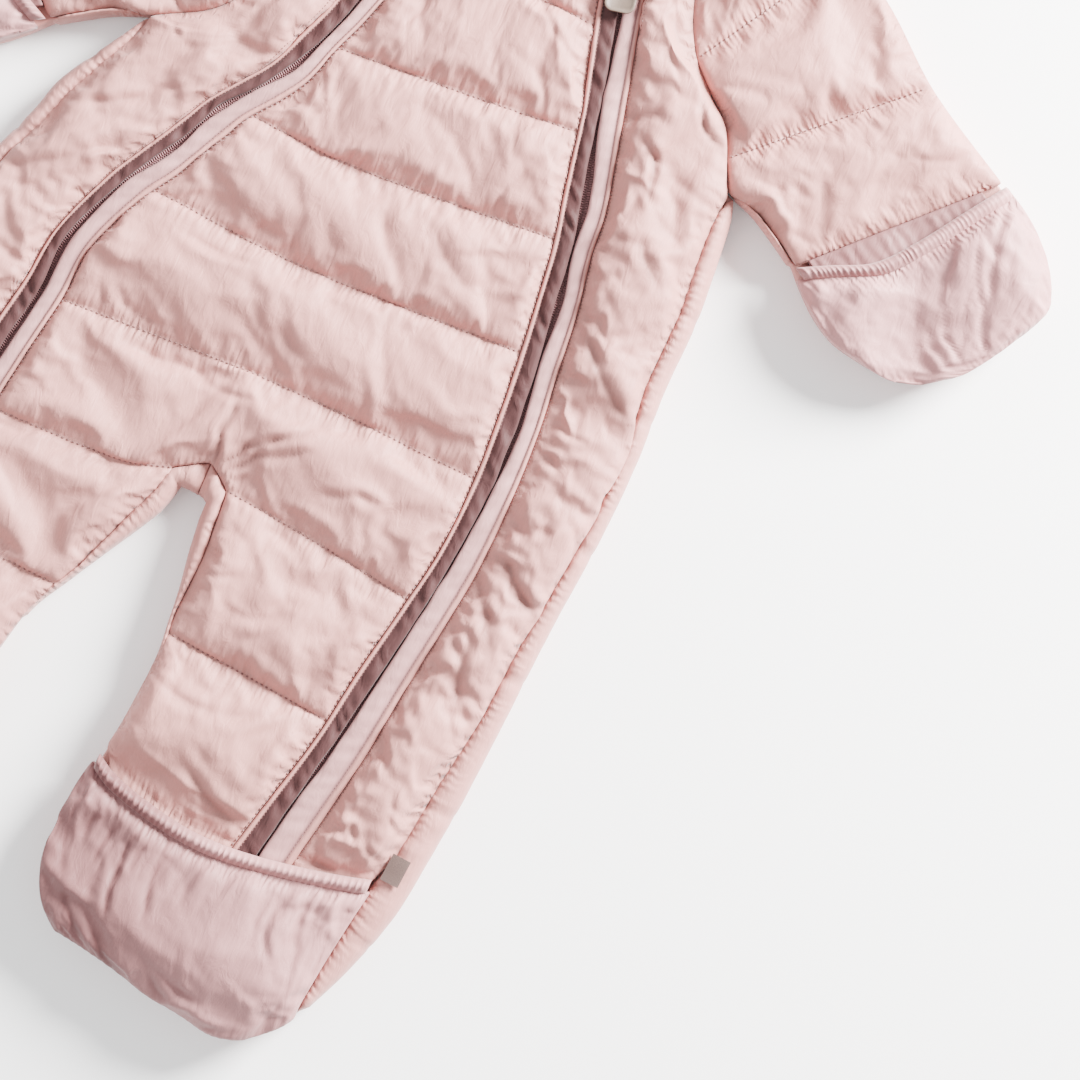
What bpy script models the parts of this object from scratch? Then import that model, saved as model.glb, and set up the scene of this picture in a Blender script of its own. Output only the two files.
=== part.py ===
"""A baby's quilted snowsuit, laid flat on its back: one closed solid for each sewn piece.

Every line of the garment is a short table in millimetres, measured from the crotch. "Across" runs towards the
wearer's left and "up" towards the hood. The back pieces are trays that lie on the surface and turn up round the
edge. The fronts lie in the trays, with quilting raised in their upper side over a plain underside.
"""

import math

import bmesh
import bpy

MM = 0.001
ORIGIN_ACROSS = 31.4
ORIGIN_UP = 152.0

# Heights above the surface, in mm.
BACK_TOP = 13.0
GAP = 0.3
SEAM_ROOM = 1.0
FRONT_BASE = BACK_TOP + GAP
SEAM_HEIGHT = 17.6
RIM_HEIGHT = 19.2
HEM_HEIGHT = 20.2
CASING_BASE = HEM_HEIGHT + 0.4
TAPE_TOP = 15.2
GUARD_BASE = TAPE_TOP + GAP
# The tape's section, from edge to edge: share of the width, height. It is thickest along the coil.
TAPE_SECTION = (
    (0, TAPE_TOP - 0.8),
    (0.38, TAPE_TOP - 0.6),
    (0.5, TAPE_TOP),
    (0.62, TAPE_TOP - 0.6),
    (1, TAPE_TOP - 0.8),
)
PUFF = 9.5
PUFF_ROUNDING = 15.0

# Zip lines: outer stitching, coil and inner stitching of the guards, and half of the gap between them.
ZIP_COLUMNS = ("up", "outer", "coil", "inner", "gap")
ZIP_LEFT = (
    (343, 96, 85, 73.5, 1.0),
    (290, 108.5, 97.5, 85.5, 1.5),
    (240, 121, 108.5, 99.5, 1.0),
    (200, 130.5, 119, 107.5, 2.0),
    (170, 134, 124, 114, 0.8),
    (145, 138.5, 128, 117, 3.0),
    (115, 141.5, 131, 120.5, 0.8),
    (85, 144.7, 134.5, 123, 1.6),
    (50, 146, 135, 125, 0.7),
    (10, 145, 132, 123.5, 0.6),
    (-20, 141.5, 128, 118.5, 0.6),
    (-60, 136, 121.5, 111, 0.9),
    (-100, 131, 115, 105, 1.5),
    (-140, 124, 107, 95.5, 1.0),
    (-178, 117, 100, 86.5, 0.8),
)
ZIP_RIGHT = (
    (343, -12, -1, 10.5, 1.0),
    (290, -28, -15.5, -3, 1.4),
    (240, -42, -30, -17.5, 1.6),
    (200, -53, -43, -32.5, 0.8),
    (170, -75, -66, -53, 2.2),
    (145, -87, -79, -68, 1.0),
    (115, -105, -97, -86, 1.8),
    (80, -118, -110, -98, 1.0),
    (50, -122, -112, -101, 1.2),
    (20, -127.5, -117, -106, 1.6),
    (-10, -132, -121.5, -110.5, 0.6),
)
# The right leg's zip is given on the left leg's lines, before the leg is turned outwards.
ZIP_RIGHT_LEG = (
    (-30, 127, 115, 104.5, 0.6),
    (-60, 124.5, 112.5, 101.5, 0.8),
    (-100, 121, 109.5, 98.5, 1.2),
    (-140, 117.5, 106, 95, 0.8),
    (-178, 112.5, 100.5, 89.5, 0.8),
)

# Side lines: the edge of the garment as it lies, and the seam where the back comes round on to the front.
SIDE_COLUMNS = ("up", "edge", "seam")
SIDE_LEFT = (
    (233, 186.5, 183),
    (222, 190, 181.5),
    (200, 192.5, 182),
    (170, 195, 184.5),
    (130, 194.5, 184),
    (90, 196.3, 187.5),
    (50, 195.3, 186.5),
    (10, 192, 182.5),
    (-20, 190, 179),
    (-60, 188, 176),
    (-100, 185.5, 170),
    (-140, 181.3, 165),
    (-160, 179, 160.5),
    (-180, 174.5, 157),
    (-205, 166, 153.5),
    (-232, 154.5, 150.5),
)
SIDE_RIGHT = (
    (196, -120.5, -117),
    (185, -127.5, -121),
    (170, -137, -128.5),
    (150, -148.5, -138),
    (130, -154.5, -145),
    (100, -166, -156.5),
    (70, -176, -167),
    (40, -186, -177),
    (10, -195.5, -186),
    (-10, -199.5, -190),
)
INNER_COLUMNS = ("up", "edge", "seam")
INNER_LEG = (
    (-12, 6, 14.3),
    (-25, 7.5, 15.5),
    (-40, 9, 16.5),
    (-60, 11.5, 15.5),
    (-78, 13, 14.5),
    (-95, 14.5, 15),
    (-118, 13, 13.6),
    (-135, 11.5, 12.1),
    (-148, 9.2, 10),
)

# Armholes, from the armpit to the end of the shoulder: up, across.
ARMHOLE_LEFT = (
    (233, 183),
    (243, 178),
    (252, 174),
    (262, 168),
    (276, 154),
    (290, 140),
    (315, 128),
    (345, 123),
    (376, 121.3),
)
ARMHOLE_RIGHT = (
    (196, -120.5),
    (203, -108),
    (210, -95),
    (218, -86),
    (235, -74),
    (262, -62),
    (290, -50),
    (315, -41.5),
    (345, -36),
    (370, -34.7),
)

# The back of the neck, where the hood is sewn on.
NECK_BACK = ((-34.7, 370), (2, 361), (44, 356.5), (84, 362.5), (121.3, 376))

# The right leg is turned outwards: where the left leg's line across = 100 goes, its turn and its stretch.
TURN_COLUMNS = ("up", "spine_across", "spine_up", "turn", "stretch")
RIGHT_LEG_TURN = (
    (0, -103.5, 0.5, 0, 1.05),
    (-15, -106.5, -14, 0, 1.05),
    (-50, -117, -44, 2.5, 1.026),
    (-83, -130, -73, 7.3, 1.0),
    (-105, -137, -90, 10.4, 0.98),
    (-151, -150.5, -130.7, 13.5, 1.0),
    (-180, -158.2, -158.6, 15, 1.0),
    (-260, -179, -236, 15, 1.0),
)

# Quilting lines across the front, each through three places: across, up, across, up, across, up.
FRONT_QUILTS = (
    (0, 339, 42, 334, 86, 339),
    (0, 279, 50, 284, 88, 283),
    (-20, 221, 50, 226, 103, 231),
    (-50, 172, 0, 169, 115, 177),
    (-80, 118, 0, 113, 120, 118),
    (-100, 49, 10, 54, 124, 51),
)
CROTCH_LEFT = (13.5, -5, 60, -10, 117, -18)
CROTCH_RIGHT = (-17.5, -6, -40, -12.5, -110, -15)
CROTCH_POINT = (0.5, 5)
LEG_QUILTS = (
    (15, -82, 60, -86, 103, -90),
    (10, -149, 66, -165.5, 160, -151),
)
LEG_END = -178

# Creases, from end to end: across, up, across, up, half width, depth.
CREASES = (
    (118, 251, 158, 243, 5, 3.0),
    (121, 237, 172, 203, 6, 3.5),
    (131, 183, 168, 171, 6, 3.0),
    (140, 141, 181, 108, 6, 3.5),
    (146, 62, 182, 57, 6, 2.5),
    (147, 26, 178, 4, 6, 3.0),
    (146, 6, 170, -30, 5, 3.0),
    (142, -22, 173, -66, 5, 3.0),
    (133, -88, 146, -106, 5, 2.5),
    (130, -112, 165, -130, 5, 2.5),
    (8, 8, 44, 40, 5, 3.0),
    (0, 8, 2, 40, 4, 3.0),
    (10, 5, 20, 28, 3.5, 2.0),
    (-58, 152, -16, 118, 7, 3.0),
    (-52, 103, 0, 72, 7, 2.5),
    (40, 165, 92, 128, 7, 2.0),
    (58, 75, 84, 40, 6, 2.0),
    (16, -42, 34, -44, 4, 2.5),
    (60, -141, 86, -153, 5, 3.0),
    (20, -96, 90, -116, 6, 2.5),
    (-128, 158, -74, 176, 5, 2.5),
    (-146, 128, -96, 146, 5, 2.5),
    (-154, 104, -112, 112, 6, 2.5),
    (-172, 62, -126, 48, 6, 3.0),
    (-182, 18, -132, 2, 6, 2.5),
    (-78, 207, -50, 214, 5, 2.5),
)

# Sleeves: placed at the armpit, turned below the horizontal; along the arm, across it from the lower edge.
SLEEVE_PLACE = {"left": (184, 233, 31.0, 1), "right": (-121, 196, 33.0, -1)}
SLEEVE_TOP = {
    "left": ((-127, 90.5), (-120, 101), (-106, 110.5), (-71, 119), (-34, 121), (16, 114.5), (77, 116)),
    "right": ((-166.5, 99.5), (-158, 109), (-140, 116), (-100, 121), (-34, 121), (16, 114.5), (77, 116)),
}
SLEEVE_LOWER = ((0, 0.5), (16, 3.6), (49, 3.9), (90, 3.2))
SLEEVE_QUILTS = ((0, -65.5, 120, -65.5), (0, -18.5, 112, 13.0), (0, 46.0, 112, 72.8))
CUFF_LENGTH = 24.0
CUFF_WAVES = 14
MITT_LOWER = (
    (47, 4.1),
    (60, 0.4),
    (84, -2.2),
    (102, 2.6),
    (120, 11.5),
    (133, 24.5),
    (139, 38),
    (141.6, 57),
)
MITT_UPPER = ((75, 116.4), (95, 116.3), (112, 113.4), (125, 108.5), (135, 102), (140.5, 95), (141.6, 84))
MITT_OPENING = ((0, 46), (4, 48), (20, 57.5), (38.5, 69), (61, 73), (90, 75), (117, 77.5))
MITT_TIP = ((20, 141.8), (57, 141.8), (84, 141.8), (110, 141.8))
MITT_END = 142.6
MITT_HEIGHT = 15.5
MITT_ROUNDING = 22.0
CASING_WIDTH = 7.5
CASING_SECTION = ((0, 1.6), (0.4, 7.0), (1, 4.8))
RIB_DEPTH = 0.7
MITT_RIBS = 26

# Feet, on the left leg's lines.
FOOT_INNER = (
    (-149, 8.6),
    (-160, 5.4),
    (-175, 3.2),
    (-190, 2.6),
    (-208, 4),
    (-222, 8),
    (-233, 14),
    (-240.5, 22),
)
FOOT_OPENING = (
    (8, -150),
    (20, -157),
    (40, -163),
    (66, -167.5),
    (90, -167.3),
    (120, -163),
    (145, -157.5),
    (162, -153),
)
FOOT_TIP = (
    (14, -240),
    (40, -243.5),
    (60, -247.5),
    (80, -252),
    (100, -254.8),
    (117, -257.4),
    (131, -254),
    (152, -247),
)
# The back's outline round the foot, under the cover, and the room in the cover for the end of the leg.
BACK_FOOT = (
    (154.3, -231),
    (150.5, -237),
    (142.5, -245),
    (133, -252),
    (118, -256),
    (100, -253.6),
    (80, -250.8),
    (60, -246.3),
    (40, -242.3),
    (24, -238.5),
    (13.5, -230),
    (7, -217),
    (4.2, -202),
    (3.4, -186),
    (5, -170),
    (8, -157),
)
FOOT_END = ((-226, 157), (-231, 153.5), (-240, 147.5), (-248, 139), (-254, 131))
FOOT_ROOM = (
    (8.0, -140),
    (166, -140),
    (166, -152),
    (151.3, -156),
    (147.8, LEG_END - 0.4),
    (12.2, LEG_END - 0.4),
    (12.6, -152),
)
FOOT_HEIGHT = 20.0
FOOT_ROUNDING = 32.0
FOOT_RIBS = 36

# Hood: its frame stands at the neck; half widths of its outer edge and of the face opening, by height.
HOOD_PLACE = (44, 352, 2.0)
HOOD_OUTER = ((21, 78), (35, 82), (60, 89), (95, 93), (130, 90), (162, 78), (188, 57), (204, 31), (210, 0))
HOOD_FACE = ((-8, 43), (25, 51), (55, 56), (90, 55), (120, 45), (142, 29), (155, 12), (158, 0))
HOOD_HEIGHT = 9.0

# Zip fittings.
SLIDER_UP = 334.0
SLIDER_SIZE = (8.6, 11.0, 4.4)
SLIDER_BACK = 6.5
EAR_WIDTH = 1.4
EAR_HEIGHT = 4.4
EAR_SPACING = 5.6
PIVOT_HEIGHT = 23.4
CROSSBAR = (5.0, 2.6)
NECK_WIDTH = 3.8
TAB_START = 7.0
TAB_SIZE = (15.5, 35.0, 1.8)
TAB_SHOULDER = 2.5
TAB_CORNER = 4.5
PULL_TURN = {"left": 11.5, "right": -12.5}
LABEL_SIZE = (10.0, 14.5, 0.7)
LABEL_PLACE = (168.5, -144.5, 4.0)
LABEL_HEIGHT = RIM_HEIGHT + 1.6

CLOTH = (0.80, 0.63, 0.60)
MITT_CLOTH = (0.78, 0.62, 0.62)
GUARD_CLOTH = (0.74, 0.58, 0.57)
TAPE_CLOTH = (0.42, 0.27, 0.28)
PULL_LEATHER = (0.62, 0.54, 0.48)
SLIDER_METAL = (0.66, 0.60, 0.58)
LABEL_CLOTH = (0.40, 0.34, 0.29)


def smooth_line(points):
    """A smooth curve through a table's (position, value) pairs, flat beyond its ends' slopes."""
    knots = sorted((float(p), float(q)) for p, q in points)
    slopes = []
    for i in range(len(knots)):
        before, after = knots[max(i - 1, 0)], knots[min(i + 1, len(knots) - 1)]
        slopes.append((after[1] - before[1]) / (after[0] - before[0]))

    def value(at):
        i = 0
        while i < len(knots) - 2 and at > knots[i + 1][0]:
            i += 1
        (p0, q0), (p1, q1) = knots[i], knots[i + 1]
        if at <= p0:
            return q0 + slopes[i] * (at - p0)
        if at >= p1:
            return q1 + slopes[i + 1] * (at - p1)
        span = p1 - p0
        t = (at - p0) / span
        a, b = slopes[i] * span, slopes[i + 1] * span
        return q0 + t * (a + t * (3 * (q1 - q0) - 2 * a - b + t * (a + b - 2 * (q1 - q0))))

    return value


def column_line(table, columns, name):
    """The smooth curve of one named column over the table's first column."""
    k = columns.index(name)
    return smooth_line([(row[0], row[k]) for row in table])


def quilt_line(row):
    """A quilting line through the three places of its row, straight beyond them."""
    return smooth_line([(row[0], row[1]), (row[2], row[3]), (row[4], row[5])])


TURN_LINES = {name: column_line(RIGHT_LEG_TURN, TURN_COLUMNS, name) for name in TURN_COLUMNS[1:]}


def left_leg(across, up):
    """The left leg lies on its own plan."""
    return across, up


def right_leg(across, up):
    """A point of the left leg's plan, mirrored and turned out with the right leg."""
    turn = math.radians(TURN_LINES["turn"](up))
    out = (across - 100) * TURN_LINES["stretch"](up)
    return (
        TURN_LINES["spine_across"](up) - out * math.cos(turn),
        TURN_LINES["spine_up"](up) + out * math.sin(turn),
    )


def sleeve_point(side, along, across):
    """A point of the sleeve's plan, placed at its armpit."""
    u, v, angle, way = SLEEVE_PLACE[side]
    c, s = math.cos(math.radians(angle)), math.sin(math.radians(angle))
    return u + way * (along * c + across * s), v - along * s + across * c


def sleeve_plan(side, u, v):
    """Where a point of the body lies on the sleeve's plan."""
    u0, v0, angle, way = SLEEVE_PLACE[side]
    c, s = math.cos(math.radians(angle)), math.sin(math.radians(angle))
    du, dv = way * (u - u0), v - v0
    return du * c - dv * s, du * s + dv * c


def hood_point(across, up):
    u, v, turn = HOOD_PLACE
    c, s = math.cos(math.radians(turn)), math.sin(math.radians(turn))
    return u + across * c - up * s, v + across * s + up * c


def blend_lines(lines, steps):
    """Row curves between each two neighbouring lines, at the given steps of the way, with each one's share."""
    made = []
    for first, second in zip(lines, lines[1:]):
        for t in steps[:-1]:
            made.append((lambda x, f=first, g=second, t=t: (1 - t) * f(x) + t * g(x), t))
    made.append((lines[-1], 1.0))
    return made


def rounding(distance, width=PUFF_ROUNDING):
    """Share of full height at a distance in from an edge: a quarter round."""
    t = min(max(distance / width, 0), 1)
    return math.sqrt(1 - (1 - t) ** 2)


def swell(share):
    """Share of full height along a quilted row, nothing at both stitched lines."""
    return max(math.sin(math.pi * share), 0) ** 0.6


def unevenness(u, v):
    return 0.7 * math.sin(0.071 * u + 0.043 * v) + 0.5 * math.sin(0.11 * v - 0.062 * u + 1.3)


def crease_depth(u, v):
    """How far the creases lower the cloth at a point."""
    depth = 0.0
    for u1, v1, u2, v2, width, most in CREASES:
        du, dv = u2 - u1, v2 - v1
        t = ((u - u1) * du + (v - v1) * dv) / (du * du + dv * dv)
        inside = min(max(t, 0), 1)
        away = math.hypot(u - u1 - inside * du, v - v1 - inside * dv)
        depth = max(depth, most * math.exp(-((away / width) ** 2)))
    return depth


def material(name, colour, roughness=0.75, metallic=0.0):
    made = bpy.data.materials.new(name)
    made.use_nodes = True
    shader = made.node_tree.nodes["Principled BSDF"]
    shader.inputs["Base Color"].default_value = (*colour, 1)
    shader.inputs["Roughness"].default_value = roughness
    shader.inputs["Metallic"].default_value = metallic
    return made


def to_scene(u, v, z):
    return (u - ORIGIN_ACROSS) * MM, (v - ORIGIN_UP) * MM, z * MM


def finish(name, bm, colour, roughness=0.75, metallic=0.0):
    """Makes the bmesh a named object in the snowsuit's collection, its faces pointing out."""
    bmesh.ops.recalc_face_normals(bm, faces=bm.faces)
    mesh = bpy.data.meshes.new(name)
    bm.to_mesh(mesh)
    bm.free()
    mesh.materials.append(material(name, colour, roughness, metallic))
    mesh.shade_smooth()
    mesh.set_sharp_from_angle(angle=math.radians(50))
    obj = bpy.data.objects.new(name, mesh)
    SNOWSUIT.objects.link(obj)
    return obj


def slab(name, patches, base, colour):
    """A closed solid under one or more joined grids of (across, up, height): plain below, at one height."""
    bm = bmesh.new()
    for patch in patches:
        verts = [[bm.verts.new(to_scene(*p)) for p in row] for row in patch]
        for lower, upper in zip(verts, verts[1:]):
            for a, b, c, d in zip(lower, lower[1:], upper[1:], upper):
                bm.faces.new((a, b, c, d))
    bmesh.ops.remove_doubles(bm, verts=bm.verts, dist=0.00002)
    rim = [e for e in bm.edges if e.is_boundary]
    skirt = bmesh.ops.extrude_edge_only(bm, edges=rim)["geom"]
    for vert in (g for g in skirt if isinstance(g, bmesh.types.BMVert)):
        vert.co.z = base * MM
    low = [g for g in skirt if isinstance(g, bmesh.types.BMEdge) and g.is_boundary]
    bmesh.ops.contextual_create(bm, geom=low)
    return finish(name, bm, colour)


# A tray's section at each kind of edge, from its flat underside to its upper side: how far in from the outline,
# as a share of the rim's width and in mm, and how high.
TRAY_SECTIONS = {
    "side": (
        (0, 9, 0),
        (0, 2.4, 2.4),
        (0, 0, 8.5),
        (0.22, 0, 15.2),
        (0.6, 0, RIM_HEIGHT),
        (1, 0, SEAM_HEIGHT),
        (1, 0.4, BACK_TOP),
    ),
    "free": (
        (0, 9, 0),
        (0, 3.4, 2),
        (0, 1.5, 6.5),
        (0, 1.8, 11.6),
        (0, 2.2, BACK_TOP),
        (0, 2.8, BACK_TOP),
        (0, 3.6, BACK_TOP),
    ),
    "joint": (
        (0, 1.4, 0),
        (0, 0.3, 1.4),
        (0, 0.15, 6.5),
        (0, 0.4, 11.8),
        (0, 2.2, BACK_TOP),
        (0, 2.8, BACK_TOP),
        (0, 3.6, BACK_TOP),
    ),
}


def tray(name, outline, colour):
    """A flat back piece from its outline of (across, up, kind, rim width). Sides turn up into a rim."""
    count = len(outline)
    area = sum(
        outline[i][0] * outline[(i + 1) % count][1] - outline[(i + 1) % count][0] * outline[i][1]
        for i in range(count)
    )
    way = 1 if area > 0 else -1
    rings = []
    for i, (u, v, kind, width) in enumerate(outline):
        before, after = outline[i - 1], outline[(i + 1) % count]
        ins = []
        for a, b in ((before, (u, v)), ((u, v), after)):
            du, dv = b[0] - a[0], b[1] - a[1]
            size = math.hypot(du, dv)
            ins.append((-dv / size * way, du / size * way))
        n = (ins[0][0] + ins[1][0], ins[0][1] + ins[1][1])
        size = max(n[0] ** 2 + n[1] ** 2, 0.9)
        n = (n[0] * 2 / size, n[1] * 2 / size)
        ring = []
        for share, inset, height in TRAY_SECTIONS[kind]:
            distance = share * width + inset
            ring.append((u + n[0] * distance, v + n[1] * distance, height))
        rings.append(ring)
    bm = bmesh.new()
    verts = [[bm.verts.new(to_scene(*p)) for p in ring] for ring in rings]
    for i in range(count):
        for k in range(len(verts[0]) - 1):
            a, b = verts[i], verts[(i + 1) % count]
            bm.faces.new((a[k], b[k], b[k + 1], a[k + 1]))
    bm.faces.new([ring[0] for ring in verts])
    bm.faces.new([ring[-1] for ring in verts])
    return finish(name, bm, colour)


def cut(obj, outline, low, high):
    """Cuts an upright prism of the outline out of a piece."""
    bm = bmesh.new()
    floor = bm.faces.new([bm.verts.new(to_scene(u, v, low)) for u, v in outline])
    raised = bmesh.ops.extrude_face_region(bm, geom=[floor], use_keep_orig=True)["geom"]
    for vert in (g for g in raised if isinstance(g, bmesh.types.BMVert)):
        vert.co.z = high * MM
    bmesh.ops.recalc_face_normals(bm, faces=bm.faces)
    mesh = bpy.data.meshes.new(obj.name + "_room")
    bm.to_mesh(mesh)
    bm.free()
    cutter = bpy.data.objects.new(obj.name + "_room", mesh)
    cutter.hide_render = True
    cutter.display_type = "WIRE"
    CUTTERS.objects.link(cutter)
    room = obj.modifiers.new("room_below", "BOOLEAN")
    room.operation = "DIFFERENCE"
    room.object = cutter


def zip_lines(side):
    """The zip's lines on the body and on the leg's plan, and the point where the leg takes over."""
    if side == "left":
        lines = {name: column_line(ZIP_LEFT, ZIP_COLUMNS, name) for name in ZIP_COLUMNS[1:]}
        return lines, lines
    body = {name: column_line(ZIP_RIGHT, ZIP_COLUMNS, name) for name in ZIP_COLUMNS[1:]}
    leg = {name: column_line(ZIP_RIGHT_LEG, ZIP_COLUMNS, name) for name in ZIP_COLUMNS[1:]}
    return body, leg


LEG = {"left": left_leg, "right": right_leg}
HIP = {"left": -15.0, "right": -22.0}
QUILT_STEPS = (0, 0.1, 0.3, 0.55, 0.82, 1)


def zip_stations(low, high, step):
    count = round((high - low) / step)
    return [high + (low - high) * i / count for i in range(count + 1)]


def zip_strip(side, first, second, heights, low=LEG_END, high=342.5, step=16.0):
    """Rows down a zip from one line to another, each a function of the lines at that height."""
    body, leg = zip_lines(side)
    patch = []
    for up in zip_stations(low, high, step):
        on_leg = up < HIP[side]
        lines = leg if on_leg else body
        way = 1 if side == "left" or on_leg else -1
        row = []
        for share, height in heights:
            across = (1 - share) * first(lines, up, way) + share * second(lines, up, way)
            u, v = LEG[side](across, up) if on_leg else (across, up)
            row.append((u, v, height))
        patch.append(row)
    return patch


def make_zip(side):
    tape = zip_strip(
        side,
        lambda z, up, way: z["inner"](up) + way * 1.2,
        lambda z, up, way: z["outer"](up) - way * 1.2,
        TAPE_SECTION,
        step=22.0,
    )
    slab("zip_tape_" + side, [tape], FRONT_BASE, TAPE_CLOTH)
    guards = (("inner", 1), ("outer", -1))
    for line, sign in guards:
        patch = zip_strip(
            side,
            lambda z, up, way: z[line](up) + sign * way * SEAM_ROOM,
            lambda z, up, way: z["coil"](up) - sign * way * z["gap"](up),
            ((0, SEAM_HEIGHT), (0.3, 19.4), (0.8, 19.9), (1, 18.6)),
            high=SLIDER_UP - 7.0,
            step=20.0,
        )
        slab(f"zip_guard_{line}_{side}", [patch], GUARD_BASE, GUARD_CLOTH)


def flat_under_cover(height, up, opening):
    """Height eased down to the hem's level where a foot cover comes over it."""
    t = min(max((up - opening) / 22.0, 0), 1)
    return HEM_HEIGHT - 0.2 + (max(height - HEM_HEIGHT, -2.0) + 0.2) * t if t > 0 else HEM_HEIGHT - 0.2


def front_height(u, v, share, low_gap, high_gap, puff=PUFF):
    edge = min(rounding(low_gap), rounding(high_gap))
    height = SEAM_HEIGHT + (puff + unevenness(u, v)) * swell(share) * edge
    return max(height - crease_depth(u, v) * edge, SEAM_HEIGHT - 1.2)


def edge_shares(count, narrow=0.35):
    """Shares across a panel, closer together near its edges."""
    shares = []
    for i in range(count + 1):
        t = i / count
        shares.append(t + narrow * (math.sin(2 * math.pi * t) / (2 * math.pi)) * -1)
    return shares


def make_front_centre():
    left, _ = zip_lines("left")
    right, right_zip_leg = zip_lines("right")
    crotch_u, crotch_v = CROTCH_POINT
    left_line, right_line = quilt_line(CROTCH_LEFT), quilt_line(CROTCH_RIGHT)

    def crotch_row(u):
        if u >= CROTCH_LEFT[0]:
            return left_line(u)
        if u <= CROTCH_RIGHT[0]:
            return right_line(u)
        corner = CROTCH_LEFT if u > crotch_u else CROTCH_RIGHT
        t = (u - crotch_u) / (corner[0] - crotch_u)
        return crotch_v + (corner[1] - crotch_v) * t

    def split(up):
        """The middle of the panel, where its columns divide for the two legs."""
        return 17 + (crotch_u - 17) * min(max((230 - up) / 225, 0), 1)

    lines = [quilt_line(row) for row in FRONT_QUILTS] + [crotch_row]
    rows = blend_lines(lines, QUILT_STEPS)
    half = 8
    patch = []
    for curve, share in rows:
        row = []
        for k in range(2 * half + 1):
            u = 0.0
            for _ in range(10):
                up = curve(u)
                low, mid, high = right["inner"](up) + 0.7, split(up), left["inner"](up) - 0.7
                t = abs(k - half) / half
                t = 1 - (1 - t) ** 1.15
                u = mid + ((high - mid) if k > half else (low - mid)) * t
            up = curve(u)
            row.append((u, up, share, u - right["inner"](up), left["inner"](up) - u))
        patch.append(row)
    # The two columns nearest the middle of the last row are the corners of the crotch seam.
    last = patch[-1]
    for k, corner in ((half - 1, CROTCH_RIGHT), (half, None), (half + 1, CROTCH_LEFT)):
        u, up = CROTCH_POINT if corner is None else corner[:2]
        last[k] = (u, up, 1.0, 99, 99)
    torso = [[(u, up, front_height(u, up, s, a, b)) for u, up, s, a, b in row] for row in patch]
    legs = []
    opening = smooth_line(FOOT_OPENING)
    seam = column_line(INNER_LEG, INNER_COLUMNS, "seam")
    for side, zip_inner in (("left", left["inner"]), ("right", right_zip_leg["inner"])):
        place = LEG[side]
        first_row = torso[-1][half + 1:] if side == "left" else torso[-1][half - 1::-1]
        count = len(first_row)
        mirrored = [abs(p[0]) for p in first_row]
        top = smooth_line([(m, p[1]) for m, p in zip(mirrored, first_row)])
        leg_lines = [top] + [quilt_line(row) for row in LEG_QUILTS]
        under = [quilt_line(LEG_QUILTS[-1]), lambda x: LEG_END]
        rows = blend_lines(leg_lines, QUILT_STEPS) + blend_lines(under, (0, 0.4, 1))[1:]
        made = [first_row]
        for number, (curve, share) in enumerate(rows[1:]):
            covered = number >= 2 * (len(QUILT_STEPS) - 1)
            row = []
            for k in range(count):
                t = k / (count - 1)
                u = 60.0
                for _ in range(10):
                    up = curve(u)
                    u = (1 - t) * inner_front_edge(up, seam) + t * (zip_inner(up) - SEAM_ROOM)
                up = curve(u)
                height = front_height(u, up, share, u - inner_front_edge(up, seam), zip_inner(up) - u)
                height = HEM_HEIGHT - 0.2 if covered else flat_under_cover(height, up, opening(u))
                row.append((*place(u, up), height))
            made.append(row)
        legs.append(made)
    slab("front_centre", [torso, *legs], FRONT_BASE, CLOTH)


def inner_front_edge(up, seam):
    """The inner leg edge of the front: the seam, drawn in where the foot cover comes over it."""
    t = min(max((-146 - up) / 12, 0), 1)
    narrow_rim = 2.6 * math.exp(-(((up + 94) / 17) ** 2))
    return seam(up) + SEAM_ROOM + narrow_rim + 9.0 * t


def outer_front_edge(up, seam):
    """The side edge of the front on the left leg's plan, drawn in under the foot cover."""
    t = min(max((-140 - up) / 14, 0), 1)
    return seam(up) - SEAM_ROOM - 10.5 * t


# The side panels' upper edge: a point on it and its slope. Rows of points lean with it near the neck only.
NECK_SLOPE = {"left": (88, 345, 0.93), "right": (0, 341.5, -0.83)}
NECK_RISE = 0.25
SIDE_TOP = 370
# Extra room for the zip's tape where its line bends at the hip, and for the back's rim at the armpit.
HIP_ROOM = 1.5
ARMPIT_ROOM = 4.6


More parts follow.
